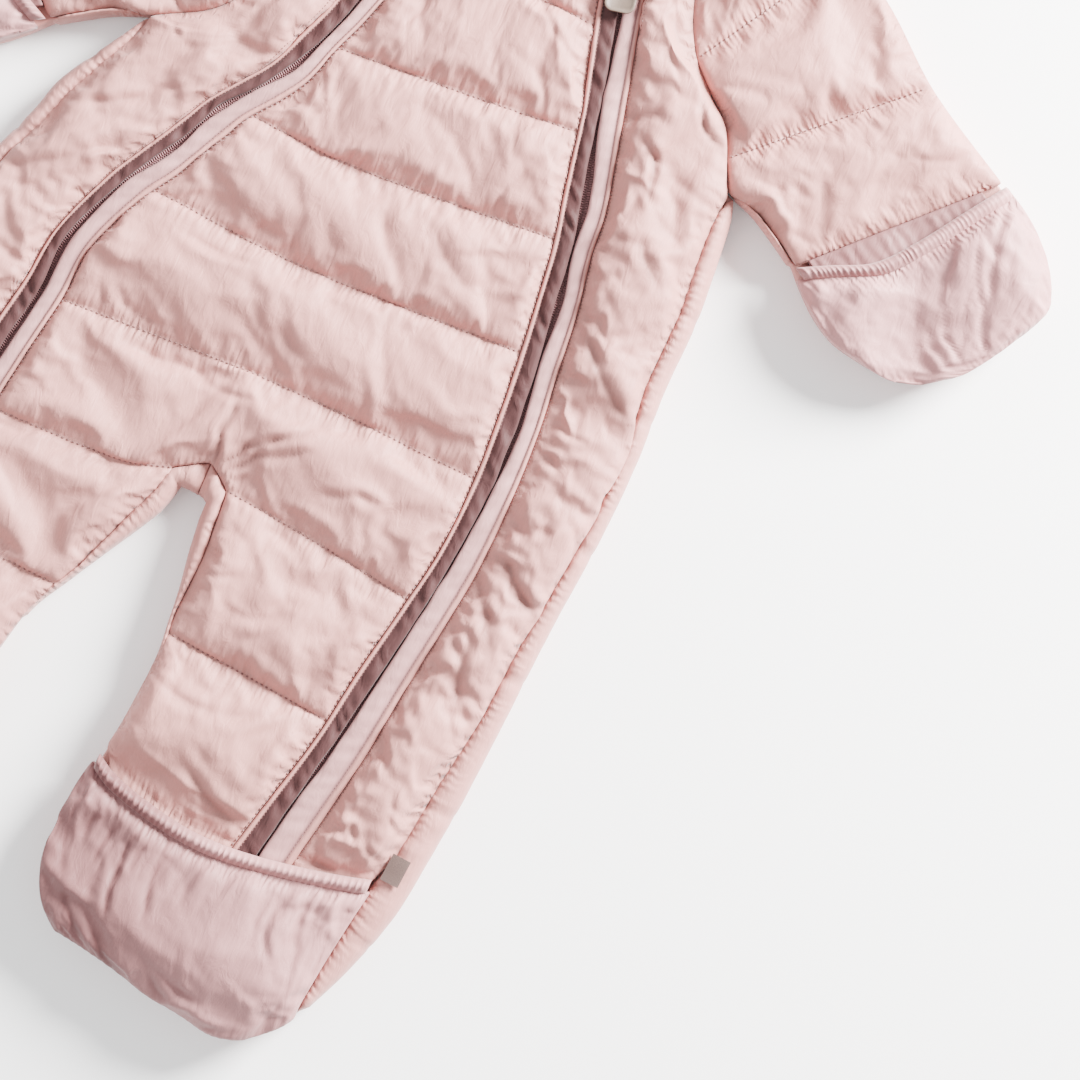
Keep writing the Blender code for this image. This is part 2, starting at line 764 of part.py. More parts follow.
def make_front_side(side):
    body, leg = zip_lines(side)
    sign = 1 if side == "left" else -1
    table = SIDE_LEFT if side == "left" else SIDE_RIGHT
    seam = column_line(table, SIDE_COLUMNS, "seam")
    leg_seam = column_line(SIDE_LEFT, SIDE_COLUMNS, "seam")
    armhole = smooth_line(ARMHOLE_LEFT if side == "left" else ARMHOLE_RIGHT)
    armpit = table[0][0]
    neck_u, neck_v, slope = NECK_SLOPE[side]
    opening = smooth_line(FOOT_OPENING)
    steps = 44
    shares = (0, 0.09, 0.24, 0.42, 0.6, 0.78, 0.92, 1)
    patch = []
    for i in range(steps + 1):
        t = i / steps
        lean = max(1 - t / NECK_RISE, 0)
        row = []
        for share in shares:
            up = SIDE_TOP + (LEG_END - SIDE_TOP) * t
            hip_room = HIP_ROOM * math.exp(-(((up - HIP[side]) / 12) ** 2))
            if up < HIP[side]:
                first = leg["outer"](up) + 0.7 + hip_room
                last = outer_front_edge(up, leg_seam)
                across = first + (last - first) * share
                u, v = LEG[side](across, up)
                gaps = (across - first, last - across)
            else:
                for _ in range(16):
                    first = body["outer"](min(up, 342)) + sign * (SEAM_ROOM + hip_room)
                    armpit_room = ARMPIT_ROOM * math.exp(-(((up - armpit + 1) / 10) ** 2))
                    last = armhole(up) - sign * 0.7 if up > armpit else seam(up) - sign * SEAM_ROOM
                    last -= sign * armpit_room
                    u = first + (last - first) * share
                    rise = (neck_v - SIDE_TOP + slope * (u - neck_u) - 0.8) * lean
                    up = 0.5 * (up + SIDE_TOP + (LEG_END - SIDE_TOP) * t + rise)
                v = up
                gaps = (abs(u - first), abs(last - u))
            ends = rounding(t * (SIDE_TOP - LEG_END), 12)
            edge = min(rounding(gaps[0], 10), rounding(gaps[1])) * ends
            height = SEAM_HEIGHT + (PUFF + unevenness(u, v)) * edge - crease_depth(u, v) * edge
            if up < -110:
                height = flat_under_cover(height, up, opening(across) + 14)
            row.append((u, v, height))
        patch.append(row)
    slab("front_side_" + side, [patch], FRONT_BASE, CLOTH)


def side_outline(side, low, high, step=15.0):
    """The silhouette down one side, as tray points."""
    table = SIDE_LEFT if side == "left" else SIDE_RIGHT
    edge = {"left": column_line(SIDE_LEFT, SIDE_COLUMNS, "edge")}
    seam = {"left": column_line(SIDE_LEFT, SIDE_COLUMNS, "seam")}
    edge[side] = column_line(table, SIDE_COLUMNS, "edge")
    seam[side] = column_line(table, SIDE_COLUMNS, "seam")
    line = []
    count = round((high - low) / step)
    for i in range(count + 1):
        up = high + (low - high) * i / count
        if up < HIP[side]:
            u, v = LEG[side](edge["left"](up), up)
            width = edge["left"](up) - seam["left"](up)
        else:
            u, v = edge[side](up), up
            width = abs(edge[side](up) - seam[side](up))
        line.append((u, v, "side", max(0.94 * width, 2.4)))
    return line


def make_back(side):
    sign = 1 if side == "left" else -1
    place = LEG[side]
    armhole_table = ARMHOLE_LEFT if side == "left" else ARMHOLE_RIGHT
    armhole = smooth_line(armhole_table)
    low, high = armhole_table[0][0], armhole_table[-1][0]
    middle = CROTCH_POINT[0] + sign * 0.15
    nape_u, nape_v = NECK_BACK[2]
    outline = [(nape_u + sign * 0.15, nape_v, "joint", 0)]
    outline.append((*NECK_BACK[2 + sign], "joint", 0))
    outline.append((armhole(high) - sign * 0.6, high - 0.6, "joint", 0))
    count = 9
    for i in range(1, count + 1):
        up = high + (low + 3 - high) * i / count
        outline.append((armhole(up) - sign * 0.3, up, "joint", 0))
    outline += side_outline(side, -226, low - 3)
    outline += [(*place(u, v), "free", 0) for u, v in BACK_FOOT]
    edge = column_line(INNER_LEG, INNER_COLUMNS, "edge")
    seam = column_line(INNER_LEG, INNER_COLUMNS, "seam")
    for up in (-146, -132, -118, -104):
        outline.append((*place(edge(up), up), "free", 0))
    for up in (-90, -74, -58, -42, -27):
        outline.append((*place(edge(up), up), "side", max(seam(up) - edge(up), 2.6)))
    outline.append((sign * 6.5, -13.5, "side", 7.0))
    outline.append((middle + sign * 2.5, -11.5, "joint", 0))
    for t in (0.02, 0.25, 0.5, 0.75):
        outline.append((middle + (nape_u - CROTCH_POINT[0]) * t, -9 + (nape_v + 9) * t, "joint", 0))
    tray("back_" + side, outline, CLOTH)


def sleeve_edges(side):
    table = ARMHOLE_LEFT if side == "left" else ARMHOLE_RIGHT
    armhole = smooth_line(table)
    low, high = table[0][0], table[-1][0]
    heights = [low, low + 2.5]
    heights += [low + (high - low) * i / 24 for i in range(1, 25)]
    return [sleeve_plan(side, armhole(up), up) for up in heights]


def make_sleeve(side):
    seam = sleeve_edges(side)
    armhole = smooth_line(seam)
    lower = smooth_line(SLEEVE_LOWER)
    upper = smooth_line(SLEEVE_TOP[side])
    start = seam[-1][0]
    first_quilt, second_quilt, hem = (smooth_line(((a, b), (c, d))) for a, b, c, d in SLEEVE_QUILTS)

    def low_edge(along):
        rim = 3.4 * min(max(1.3 + along / 12, 0), 1)
        return (armhole(along) if along < 0 else max(lower(along), armhole(0))) + 0.6 + rim

    def high_edge(along):
        return upper(along) - 3.8 - 2.6 * max(1 - (along - start) / 28, 0)

    lines = [lambda q: start + 7.0, first_quilt, second_quilt, hem]
    steps = (0, 0.1, 0.3, 0.55, 0.8, 1)
    if side == "right":
        lines.insert(1, smooth_line(((0, -122), (120, -122))))
    patch = []
    for curve, share in blend_lines(lines, steps):
        row = []
        for t in edge_shares(9):
            q = 60.0
            for _ in range(12):
                along = curve(q)
                q = 0.5 * q + 0.5 * ((1 - t) * low_edge(along) + t * high_edge(along))
            along = curve(q)
            edge = min(rounding(q - low_edge(along)), rounding(high_edge(along) - q))
            height = SEAM_HEIGHT + (PUFF + unevenness(along, q)) * swell(share) * edge
            row.append((*sleeve_point(side, along, q), height))
        patch.append(row)
    slab("sleeve_front_" + side, [patch], FRONT_BASE, CLOTH)
    cuff = []
    opening = smooth_line(MITT_OPENING)
    columns = 2 * CUFF_WAVES
    for distance in (GAP, 0.5 * CUFF_LENGTH, CUFF_LENGTH):
        row = []
        for k in range(columns + 1):
            q = 13 + (104 - 13) * k / columns
            along = hem(q) + distance + 3.0 * (opening(q) > hem(q) + 30)
            wave = 1.4 if k % 2 else -0.6
            end = 1.0 if distance < CUFF_LENGTH else 0.4
            row.append((*sleeve_point(side, along, q), HEM_HEIGHT - 1.6 + wave * end))
        cuff.append(row)
    slab("cuff_" + side, [cuff], FRONT_BASE, MITT_CLOTH)
    outline = []
    for along, q in [*seam[:3:-3], seam[2], seam[1]]:
        outline.append((*sleeve_point(side, along + 0.15, q + 0.3), "joint", 0))
    for along in (3, 16, 31):
        outline.append((*sleeve_point(side, along, max(lower(along), armhole(0) + 0.4)), "side", 2.4))
    outline.append((*sleeve_point(side, 46, lower(46)), "free", 0))
    low_mitt, high_mitt = smooth_line(MITT_LOWER), smooth_line(MITT_UPPER)
    for along in (60, 75, 90, 104, 118, 130, 138):
        outline.append((*sleeve_point(side, along, low_mitt(along)), "free", 0))
    for along, q in ((141.4, 56), (141.6, 70), (141.6, 84)):
        outline.append((*sleeve_point(side, along, q), "free", 0))
    for along in (138, 128, 112, 95, 78):
        outline.append((*sleeve_point(side, along, high_mitt(along)), "free", 0))
    for along in (62, 46, 30, 12, -6, -24, -42, -62, -82, -98, -112):
        outline.append((*sleeve_point(side, along, upper(along)), "side", 2.4))
    if side == "right":
        outline += [(*sleeve_point(side, along, upper(along)), "side", 2.4) for along in (-127, -140, -151)]
    end_along, end_q = SLEEVE_TOP[side][1]
    outline.append((*sleeve_point(side, end_along, end_q), "free", 0))
    tray("sleeve_back_" + side, outline, CLOTH)


def casing(name, opening, ribs, low_edge, high_edge, place):
    """A gathered elastic casing along a cover's opening, ribbed by its gathers."""
    columns = 2 * ribs
    rows = []
    for offset, height in CASING_SECTION:
        row = []
        for k in range(columns + 1):
            t = k / columns
            q = low_edge + (high_edge - low_edge) * t
            rib = RIB_DEPTH if k % 2 else -RIB_DEPTH
            if offset in (0, 1):
                rib *= 0.4
            row.append((*place(q, opening(q), offset), CASING_BASE + height + rib))
        rows.append(row)
    slab(name, [rows], CASING_BASE, MITT_CLOTH)


def make_mitt(side):
    low, high = smooth_line(MITT_LOWER), smooth_line(MITT_UPPER)
    opening, tip = smooth_line(MITT_OPENING), smooth_line(MITT_TIP)

    def band(q, along, offset):
        return sleeve_point(side, along + CASING_WIDTH * offset, q)

    casing("mitt_casing_" + side, opening, MITT_RIBS, 5.5, 115.5, band)
    patch = []
    rows = (0, 0.1, 0.24, 0.4, 0.56, 0.7, 0.82, 0.91, 0.97, 1)
    for t in rows:
        row = []
        for share in edge_shares(11, 0.6):
            q = 60.0
            for _ in range(14):
                along = (1 - t) * (opening(q) + CASING_WIDTH + SEAM_ROOM) + t * tip(q)
                q = 0.5 * q + 0.5 * ((1 - share) * (low(along) + 0.8) + share * (high(along) - 0.8))
            along = (1 - t) * (opening(q) + CASING_WIDTH + SEAM_ROOM) + t * tip(q)
            gap = min(q - low(along), high(along) - q, (MITT_END - along) * 1.1)
            edge = rounding(max(gap, 0.6), MITT_ROUNDING)
            near = rounding(8 + (along - opening(q) - CASING_WIDTH), MITT_ROUNDING)
            height = SEAM_HEIGHT + MITT_HEIGHT * edge * near + 0.6 * unevenness(along, q) * edge
            row.append((*sleeve_point(side, along, q), height))
        patch.append(row)
    mitt = slab("mitt_" + side, [patch], FRONT_BASE, MITT_CLOTH)
    hem = smooth_line(((0, 46.0), (112, 72.8)))
    room = [(hem(12) - 6, 12.4), (hem(105) - 6, 104.7), (hem(105) + CUFF_LENGTH + 0.4, 104.7)]
    room.append((hem(12) + CUFF_LENGTH + 0.4, 12.4))
    cut(mitt, [sleeve_point(side, along, q) for along, q in room], 5.0, HEM_HEIGHT + 0.4)


def make_foot(side):
    place = LEG[side]
    inner = smooth_line(FOOT_INNER)
    seam = column_line(SIDE_LEFT, SIDE_COLUMNS, "seam")
    end = smooth_line(FOOT_END)
    opening, tip = smooth_line(FOOT_OPENING), smooth_line(FOOT_TIP)

    def outer(up):
        if up > FOOT_END[0][0]:
            return seam(up) - SEAM_ROOM
        return min(end(up), seam(FOOT_END[0][0]) - SEAM_ROOM + 0.9 * max(FOOT_END[1][0] - up, 0))

    def band(across, up, offset):
        return place(across, up - CASING_WIDTH * offset)

    casing("foot_casing_" + side, opening, FOOT_RIBS, 9.5, 159.5, band)
    patch = []
    rows = (0, 0.09, 0.2, 0.33, 0.47, 0.6, 0.72, 0.83, 0.91, 0.97, 1)
    for t in rows:
        row = []
        for share in edge_shares(15, 0.5):
            u = 80.0
            for _ in range(14):
                up = (1 - t) * (opening(u) - CASING_WIDTH - SEAM_ROOM) + t * tip(u)
                u = 0.5 * u + 0.5 * ((1 - share) * (inner(up) + 0.8) + share * outer(up))
            up = (1 - t) * (opening(u) - CASING_WIDTH - SEAM_ROOM) + t * tip(u)
            gap = min(u - inner(up), outer(up) + 2 - u, (up - tip(u) + 1.2) * 1.1)
            edge = rounding(max(gap, 0.6), FOOT_ROUNDING)
            near = rounding(9 + (opening(u) - CASING_WIDTH - up), FOOT_ROUNDING)
            height = SEAM_HEIGHT + FOOT_HEIGHT * edge * near + 0.8 * unevenness(u, up) * edge
            row.append((*place(u, up), height))
        patch.append(row)
    cover = slab("foot_cover_" + side, [patch], FRONT_BASE, MITT_CLOTH)
    cut(cover, [place(u, v) for u, v in FOOT_ROOM], 5.0, HEM_HEIGHT + 0.4)


def make_hood():
    outer, face = smooth_line(HOOD_OUTER), smooth_line(HOOD_FACE)
    outline = []
    for sign, order in ((1, 1), (-1, -1)):
        half = [(sign * outer(h), h) for h in (24, 40, 58, 78, 98, 118, 138, 156, 172, 186, 197, 205)]
        outline += [(*hood_point(a, h), "free", 0) for a, h in half[::order]]
    outline += [(u, v + 0.5, "joint", 0) for u, v in NECK_BACK]
    tray("hood_back", outline, CLOTH)
    for side, sign in (("left", 1), ("right", -1)):
        patch = []
        count = 22
        for i in range(count + 1):
            t = i / count
            inner_h = -8 + 165.6 * (1 - (1 - t) ** 1.5)
            outer_h = 21 + 188.4 * (1 - (1 - t) ** 1.5)
            a0, a1 = max(face(inner_h), 0.3), max(outer(outer_h) - 1.2, 0.3)
            if i == count:
                a0 = a1 = 0.3
            row = []
            for share in (0, 0.08, 0.24, 0.5, 0.76, 0.92, 1):
                a = a0 + (a1 - a0) * share
                h = inner_h + 0.6 + (outer_h - inner_h - 0.6) * share
                u, v = hood_point(sign * a, h)
                width = math.hypot(a1 - a0, outer_h - inner_h)
                edge = min(rounding(share * width, 9), rounding((1 - share) * width, 16))
                ends = rounding(min(t, 1 - t) * 300, 12)
                row.append((u, v, SEAM_HEIGHT + (HOOD_HEIGHT + unevenness(u, v)) * edge * ends))
            patch.append(row)
        slab("hood_side_" + side, [patch], FRONT_BASE, CLOTH)


def flat_piece(name, outline, thickness, colour, roughness=0.75, metallic=0.0):
    """A flat piece of even thickness, drawn as an outline in mm about its own origin."""
    curve = bpy.data.curves.new(name, "CURVE")
    curve.dimensions = "2D"
    curve.fill_mode = "BOTH"
    curve.extrude = 0.5 * thickness * MM
    spline = curve.splines.new("POLY")
    spline.points.add(len(outline) - 1)
    for point, (x, y) in zip(spline.points, outline):
        point.co = (x * MM, y * MM, 0, 1)
    spline.use_cyclic_u = True
    curve.materials.append(material(name, colour, roughness, metallic))
    obj = bpy.data.objects.new(name, curve)
    SNOWSUIT.objects.link(obj)
    return obj


def tab_outline():
    """The pull in plan: a crossbar at the pivot, a neck, and a tab with round corners."""
    half, top, low = TAB_SIZE[0] / 2, -TAB_START, -TAB_START - TAB_SIZE[1]
    bar, bar_half = CROSSBAR[0] / 2, CROSSBAR[1] / 2
    neck = NECK_WIDTH / 2
    outline = [(-bar, bar_half), (-bar, -bar_half), (-neck, -bar_half), (-neck, top)]
    corners = (
        (-half + TAB_SHOULDER, top - TAB_SHOULDER, TAB_SHOULDER, 90),
        (-half + TAB_CORNER, low + TAB_CORNER, TAB_CORNER, 180),
        (half - TAB_CORNER, low + TAB_CORNER, TAB_CORNER, 270),
        (half - TAB_SHOULDER, top - TAB_SHOULDER, TAB_SHOULDER, 0),
    )
    for x, y, radius, start in corners:
        for k in range(5):
            angle = math.radians(start + 22.5 * k)
            outline.append((x + radius * math.cos(angle), y + radius * math.sin(angle)))
    outline += [(neck, top), (neck, -bar_half), (bar, -bar_half), (bar, bar_half)]
    return outline


def slider_section():
    """The slider seen along the zip, measured from the pull's pivot: a body with two ears on it."""
    low = GUARD_BASE - PIVOT_HEIGHT
    deck, top = low + SLIDER_SIZE[2], low + SLIDER_SIZE[2] + EAR_HEIGHT
    wide, slot, ear = SLIDER_SIZE[0] / 2, EAR_SPACING / 2, EAR_SPACING / 2 + EAR_WIDTH
    section = [(-wide, low), (wide, low), (wide, deck), (ear, deck), (ear, top), (slot, top), (slot, deck)]
    section += [(-slot, deck), (-slot, top), (-ear, top), (-ear, deck), (-wide, deck)]
    return section


def make_fittings(side):
    """The slider and its pull, both with their origins on the pull's pivot."""
    body, _ = zip_lines(side)
    turn = math.radians(PULL_TURN[side])
    pivot = to_scene(body["coil"](SLIDER_UP), SLIDER_UP, PIVOT_HEIGHT)
    pull = flat_piece("zip_pull_" + side, tab_outline(), TAB_SIZE[2], PULL_LEATHER, 0.6)
    pull.location = pivot
    pull.rotation_euler = (0, 0, turn)
    slider = flat_piece("zip_slider_" + side, slider_section(), SLIDER_SIZE[1], SLIDER_METAL, 0.35, 0.9)
    back = (SLIDER_BACK - 0.5 * SLIDER_SIZE[1]) * MM
    slider.location = (pivot[0] - back * math.sin(turn), pivot[1] + back * math.cos(turn), pivot[2])
    slider.rotation_euler = (math.radians(90), 0, turn)


def make_label():
    u, v, turn = LABEL_PLACE
    bm = bmesh.new()
    bmesh.ops.create_cube(bm, size=1)
    bmesh.ops.scale(bm, verts=bm.verts, vec=[size * MM for size in LABEL_SIZE])
    label = finish("side_label", bm, LABEL_CLOTH)
    label.location = to_scene(u, v, LABEL_HEIGHT)
    label.rotation_euler = (0, 0, -math.radians(turn))


for old in list(bpy.data.objects):
    bpy.data.objects.remove(old, do_unlink=True)
SNOWSUIT = bpy.data.collections.new("baby_snowsuit")
CUTTERS = bpy.data.collections.new("cutters")
bpy.context.scene.collection.children.link(SNOWSUIT)
bpy.context.scene.collection.children.link(CUTTERS)

make_front_centre()
for wearer_side in ("left", "right"):
    make_back(wearer_side)
    make_front_side(wearer_side)
    make_zip(wearer_side)
    make_sleeve(wearer_side)
    make_mitt(wearer_side)
    make_foot(wearer_side)
    make_fittings(wearer_side)
make_hood()
make_label()
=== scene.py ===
import math

import bmesh
import bpy
import numpy as np
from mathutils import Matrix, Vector, noise
from mathutils.bvhtree import BVHTree


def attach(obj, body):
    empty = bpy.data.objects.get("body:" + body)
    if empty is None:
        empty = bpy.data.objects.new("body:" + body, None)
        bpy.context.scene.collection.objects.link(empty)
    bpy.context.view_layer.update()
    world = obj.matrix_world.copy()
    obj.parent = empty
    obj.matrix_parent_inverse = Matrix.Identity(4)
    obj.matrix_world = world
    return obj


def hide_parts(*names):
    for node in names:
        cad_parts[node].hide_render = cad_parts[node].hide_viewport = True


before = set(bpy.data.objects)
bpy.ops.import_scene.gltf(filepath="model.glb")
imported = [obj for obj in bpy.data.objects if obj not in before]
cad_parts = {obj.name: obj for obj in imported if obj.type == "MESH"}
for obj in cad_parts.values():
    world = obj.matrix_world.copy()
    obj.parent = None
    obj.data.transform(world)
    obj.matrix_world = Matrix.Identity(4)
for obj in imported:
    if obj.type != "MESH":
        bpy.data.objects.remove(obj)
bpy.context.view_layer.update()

# ---- Studio --------------------------------------------------------------------------
# A pale, even ground with soft light from the wearer's left, above the shoulder, and the camera straight
# above the left leg. None of it is part of the snowsuit.
MM = 0.001
VIEW_CENTRE = (0.1358, -0.1158)
VIEW_TURN = math.radians(24)
VIEW_WIDTH = 0.540
CAMERA_HEIGHT = 1.45
CLOTH_LEVEL = 0.022


def in_scene(name, data):
    obj = bpy.data.objects.new(name, data)
    bpy.context.scene.collection.objects.link(obj)
    return obj


lens = bpy.data.cameras.new("camera")
lens.sensor_width = 36
lens.lens = 36 * (CAMERA_HEIGHT - CLOTH_LEVEL) / VIEW_WIDTH
camera = in_scene("camera", lens)
camera.location = (*VIEW_CENTRE, CAMERA_HEIGHT)
camera.rotation_euler = (0, 0, VIEW_TURN)
bpy.context.scene.camera = camera


def in_view(right, up, height):
    """A place measured from the middle of the view, towards its right and its top."""
    c, s = math.cos(VIEW_TURN), math.sin(VIEW_TURN)
    return VIEW_CENTRE[0] + right * c - up * s, VIEW_CENTRE[1] + right * s + up * c, height


def soft_light(name, place, size, power, colour):
    lamp = bpy.data.lights.new(name, "AREA")
    lamp.shape = "DISK"
    lamp.size = size
    lamp.energy = power
    lamp.color = colour
    obj = in_scene(name, lamp)
    obj.location = in_view(*place)
    aim = camera.location.copy()
    aim.z = 0
    obj.rotation_euler = (aim - obj.location).to_track_quat("-Z", "Y").to_euler()


soft_light("key", (1.65, 1.0, 0.9), 0.95, 540, (1.0, 0.985, 0.97))
soft_light("fill", (-1.5, 0.2, 1.5), 2.0, 24, (0.97, 0.98, 1.0))
world = bpy.data.worlds.new("studio")
world.use_nodes = True
world.node_tree.nodes["Background"].inputs["Color"].default_value = (1.0, 1.0, 1.0, 1)
world.node_tree.nodes["Background"].inputs["Strength"].default_value = 1.22
bpy.context.scene.world = world

bpy.ops.object.select_all(action="DESELECT")
bpy.ops.mesh.primitive_plane_add(size=12, location=(0, 0, -0.0004))
ground = bpy.context.object
ground.name = "ground"
paper = bpy.data.materials.new("pale_paper")
paper.use_nodes = True
paper.node_tree.nodes["Principled BSDF"].inputs["Base Color"].default_value = (0.97, 0.97, 0.972, 1)
paper.node_tree.nodes["Principled BSDF"].inputs["Roughness"].default_value = 0.9
ground.data.materials.append(paper)

# ---- Front, centre panel -------------------------------------------------------------
# The middle of the front, from the neck down both legs: a light woven shell over padding, quilted across.
# It is sewn to the zip guards, and to the back along the insides of the legs. As on all pieces, measures are
# in mm from the crotch: across towards the wearer's left, then up towards the hood.
ORIGIN_ACROSS = 31.4
ORIGIN_UP = 152.0
BACK_TOP = 13.0
FRONT_BASE = 13.3
SEAM_HEIGHT = 17.6
HEM_HEIGHT = 20.2
NECK_UP = 345
ZIP_GAP = 0.12
ZIP_COLUMNS = ("up", "outer", "coil", "inner", "gap")
ZIP_LEFT = (
    (343, 96, 85, 73.5, 0.8), (290, 108.5, 97.5, 85.5, 1.2), (255, 117.3, 105.2, 95.3, 0.15),
    (240, 121, 108.5, 99.5, 0.6), (200, 130.5, 119, 107.5, 2.2), (175, 133.3, 123.2, 113, 0.3),
    (150, 137.8, 127.3, 116.5, 1.8), (115, 141.5, 131, 120.5, 0.4), (85, 144.7, 134.5, 123, 1.2),
    (50, 146, 135, 125, 0.4), (10, 145, 132, 123.5, 0.4), (-20, 141.5, 128, 118.5, 0.3),
    (-60, 136, 121.5, 111, 0.5), (-100, 131, 115, 105, 1), (-140, 124, 107, 95.5, 0.5),
    (-178, 117, 100, 86.5, 0.5),
)
ZIP_RIGHT = (
    (343, -12, -1, 10.5, 1), (290, -26.5, -14.5, -3, 1), (240, -37.5, -27, -18.3, 0.5),
    (220, -45, -34.5, -26, 0.5), (200, -53, -43.5, -32.5, 1.9), (185, -64, -54.5, -41.5, 0.8),
    (170, -75, -66.5, -53, 1.8), (158, -81.5, -72.8, -59, 0.6), (145, -88.5, -78.5, -66, 1.6),
    (130, -97, -87.5, -73.5, 1.8), (115, -105, -96.5, -83, 0.6), (80, -118, -110, -98, 1.8),
    (50, -122, -112, -101, 1.2), (20, -127.5, -117, -106, 1.6), (-10, -132, -121.5, -110.5, 0.6),
)
ZIP_RIGHT_LEG = (
    (-30, 127, 115, 104.5, 0.6), (-60, 124.5, 112.5, 101.5, 0.8), (-100, 121, 109.5, 98.5, 1.2),
    (-140, 117.5, 106, 95, 0.8), (-178, 112.5, 100.5, 89.5, 0.8),
)
INNER_COLUMNS = ("up", "edge", "seam")
INNER_LEG = (
    (-12, 4.6, 14.3), (-25, 5.8, 15.2), (-40, 7.6, 16.2), (-60, 10.8, 15.5), (-78, 13, 14.5),
    (-95, 14.5, 15), (-118, 13, 13.6), (-135, 11.5, 12.1), (-148, 9.2, 10),
)
# The right leg is turned outwards: where the left leg's line across = 100 goes, its turn and its stretch.
TURN_COLUMNS = ("up", "spine_across", "spine_up", "turn", "stretch")
RIGHT_LEG_TURN = (
    (0, -103.5, 0.5, 0, 1.05), (-15, -106.5, -14, 0, 1.05), (-50, -117, -44, 2.5, 1.026),
    (-83, -130, -73, 7.3, 1), (-105, -137, -90, 10.4, 0.98), (-151, -150.5, -130.7, 13.5, 1),
    (-180, -158.2, -158.6, 15, 1), (-260, -179, -236, 15, 1),
)
# Quilting lines, each through three places: across, up, across, up, across, up.
FRONT_QUILTS = (
    (0, 339, 42, 334, 86, 339), (0, 279, 50, 284, 88, 283), (-20, 221, 50, 226, 103, 231),
    (-50, 172, 0, 169, 115, 177), (-80, 118, 0, 113, 120, 118), (-100, 49, 10, 54, 124, 51),
)
CROTCH_LEFT = (13.5, -5, 60, -10, 117, -18)
CROTCH_RIGHT = (-17.5, -6, -40, -12.5, -110, -15)
CROTCH_POINT = (0.5, 5)
LEG_QUILTS = ((15, -82, 60, -86, 103, -90), (10, -149, 66, -165.5, 160, -151))
LEG_END = -178
FOOT_OPENING = (
    (8, -150), (20, -157), (40, -163), (66, -167.5), (90, -167.3), (120, -163), (145, -157.5), (162, -153),
)
# Folds pressed into the front, from end to end: across, up, across, up, half width, depth.
FRONT_FOLDS = (
    (-51, 103, -21, 104, 2, 2.1), (-33, 97, -12, 94, 5, 1.8), (-15, 90, 2, 73, 5, 2.5),
    (4, 81, 23, 70, 4, 2.4), (-87, 66, -79, 55, 2.5, 2.2), (-75, 65, -70, 59, 2, 2),
    (-70, 59, -45, 58, 2.5, 1.9), (-41, 130, -14, 120, 4.5, 2.6), (-66, 149, -57, 150, 4, 1.8),
    (-48, 142, -34, 144, 6, 1.6), (-5, 116, -7, 125, 1.7, 1.5), (-55, 43, -41, 40, 3, 2),
    (-70, 41, -61, 46, 3, 1.2), (12, 228, 25, 243, 4, 1.8), (62, 279, 91, 261, 2, 1.6),
    (59, 253, 96, 247, 3, 1.1), (1, 181, 14, 205, 5, 1.9), (14, 205, 37, 221, 5, 1.6),
    (72, 225, 76, 208, 3.5, 2.4), (91, 212, 78, 180, 3.5, 2.1), (43, 184, 41, 173, 2.5, 1.8),
    (30, 158, 34, 145, 4, 1.9), (58, 154, 79, 138, 5, 3), (80, 137, 98, 149, 6, 1.5),
    (7, 135, 15, 127, 3.5, 1.8), (39, 157, 49, 165, 3, 1.4), (75, 237, 71, 227, 2.5, 1.5),
    (65, 119, 73, 129, 3, 1.5), (-12, -1, 0, 6, 2.2, 1.5), (-26, 1, -22, -6, 3.5, 1.2),
    (90, 16, 108, 22, 4, 1.5), (67, -71, 95, -74, 6, 2.2), (19, -104, 48, -109, 3, 1.8),
    (48, -109, 73, -102, 3, 1.5), (55, -141, 86, -156, 3.4, 4), (58, -160, 70, -161, 1.8, 1.9),
    (62, -155, 75, -155, 1.8, 1.8), (36, -151, 48, -138, 6, 1.9), (54, -126, 62, -134, 4, 1.4),
    (16, -103, 17, -89, 3, 2), (23, -20, 32, -24, 2.5, 1.2), (88, -35, 101, -35, 5, 1.2),
    (46, -54, 72, -53, 6, 1.2), (2.4, 6.7, -0.8, 21, 1.8, 5), (-0.8, 21, 1, 36.1, 2.2, 4.6),
    (5.9, 7.4, 14.1, 19.3, 1.8, 4.2), (14.1, 19.3, 27.5, 29.1, 2.2, 3.4),
    (10.5, 5.6, 20.9, 17.3, 2, 3.8), (20.9, 17.3, 41.8, 28.4, 2.6, 3.2),
    (22.9, 26.1, 40.9, 40.3, 2.2, 2.6), (58.2, 13, 75.8, 19.7, 2.6, 2.4),
    (75.8, 19.7, 85.6, 19.3, 2.6, 2.4), (-2.1, 6.2, -0.4, 14.9, 1.8, 3.2),
    (-24.4, 42.9, -15.5, 40.3, 2.4, 2.4), (-10.3, 39.4, 6.2, 42, 2.2, 2.2),
    (54.6, 43.5, 56.5, 50.5, 2, 2.4), (13.8, 0.3, 19.9, 6.3, 1.8, 2.4),
    (20.1, -47, 32.9, -42.8, 2.2, 2.6), (20.4, -41, 30.1, -39.6, 2, 2),
)
FRONT_STEP = 2.9
SETTLING_FRAMES = 20
FRONT_PUFF = 9.0
SHELL_ROSE = (0.435, 0.190, 0.168)
# SHELL_SHADE is painted shade: the colour the shell takes on down in its seams and creases.
SHELL_SHADE = (0.19, 0.080, 0.070)
# The thread is darker than the cloth partly in its own tone and partly as painted shade of the holes it sinks
# into.
THREAD_ROSE = (0.15, 0.058, 0.052)


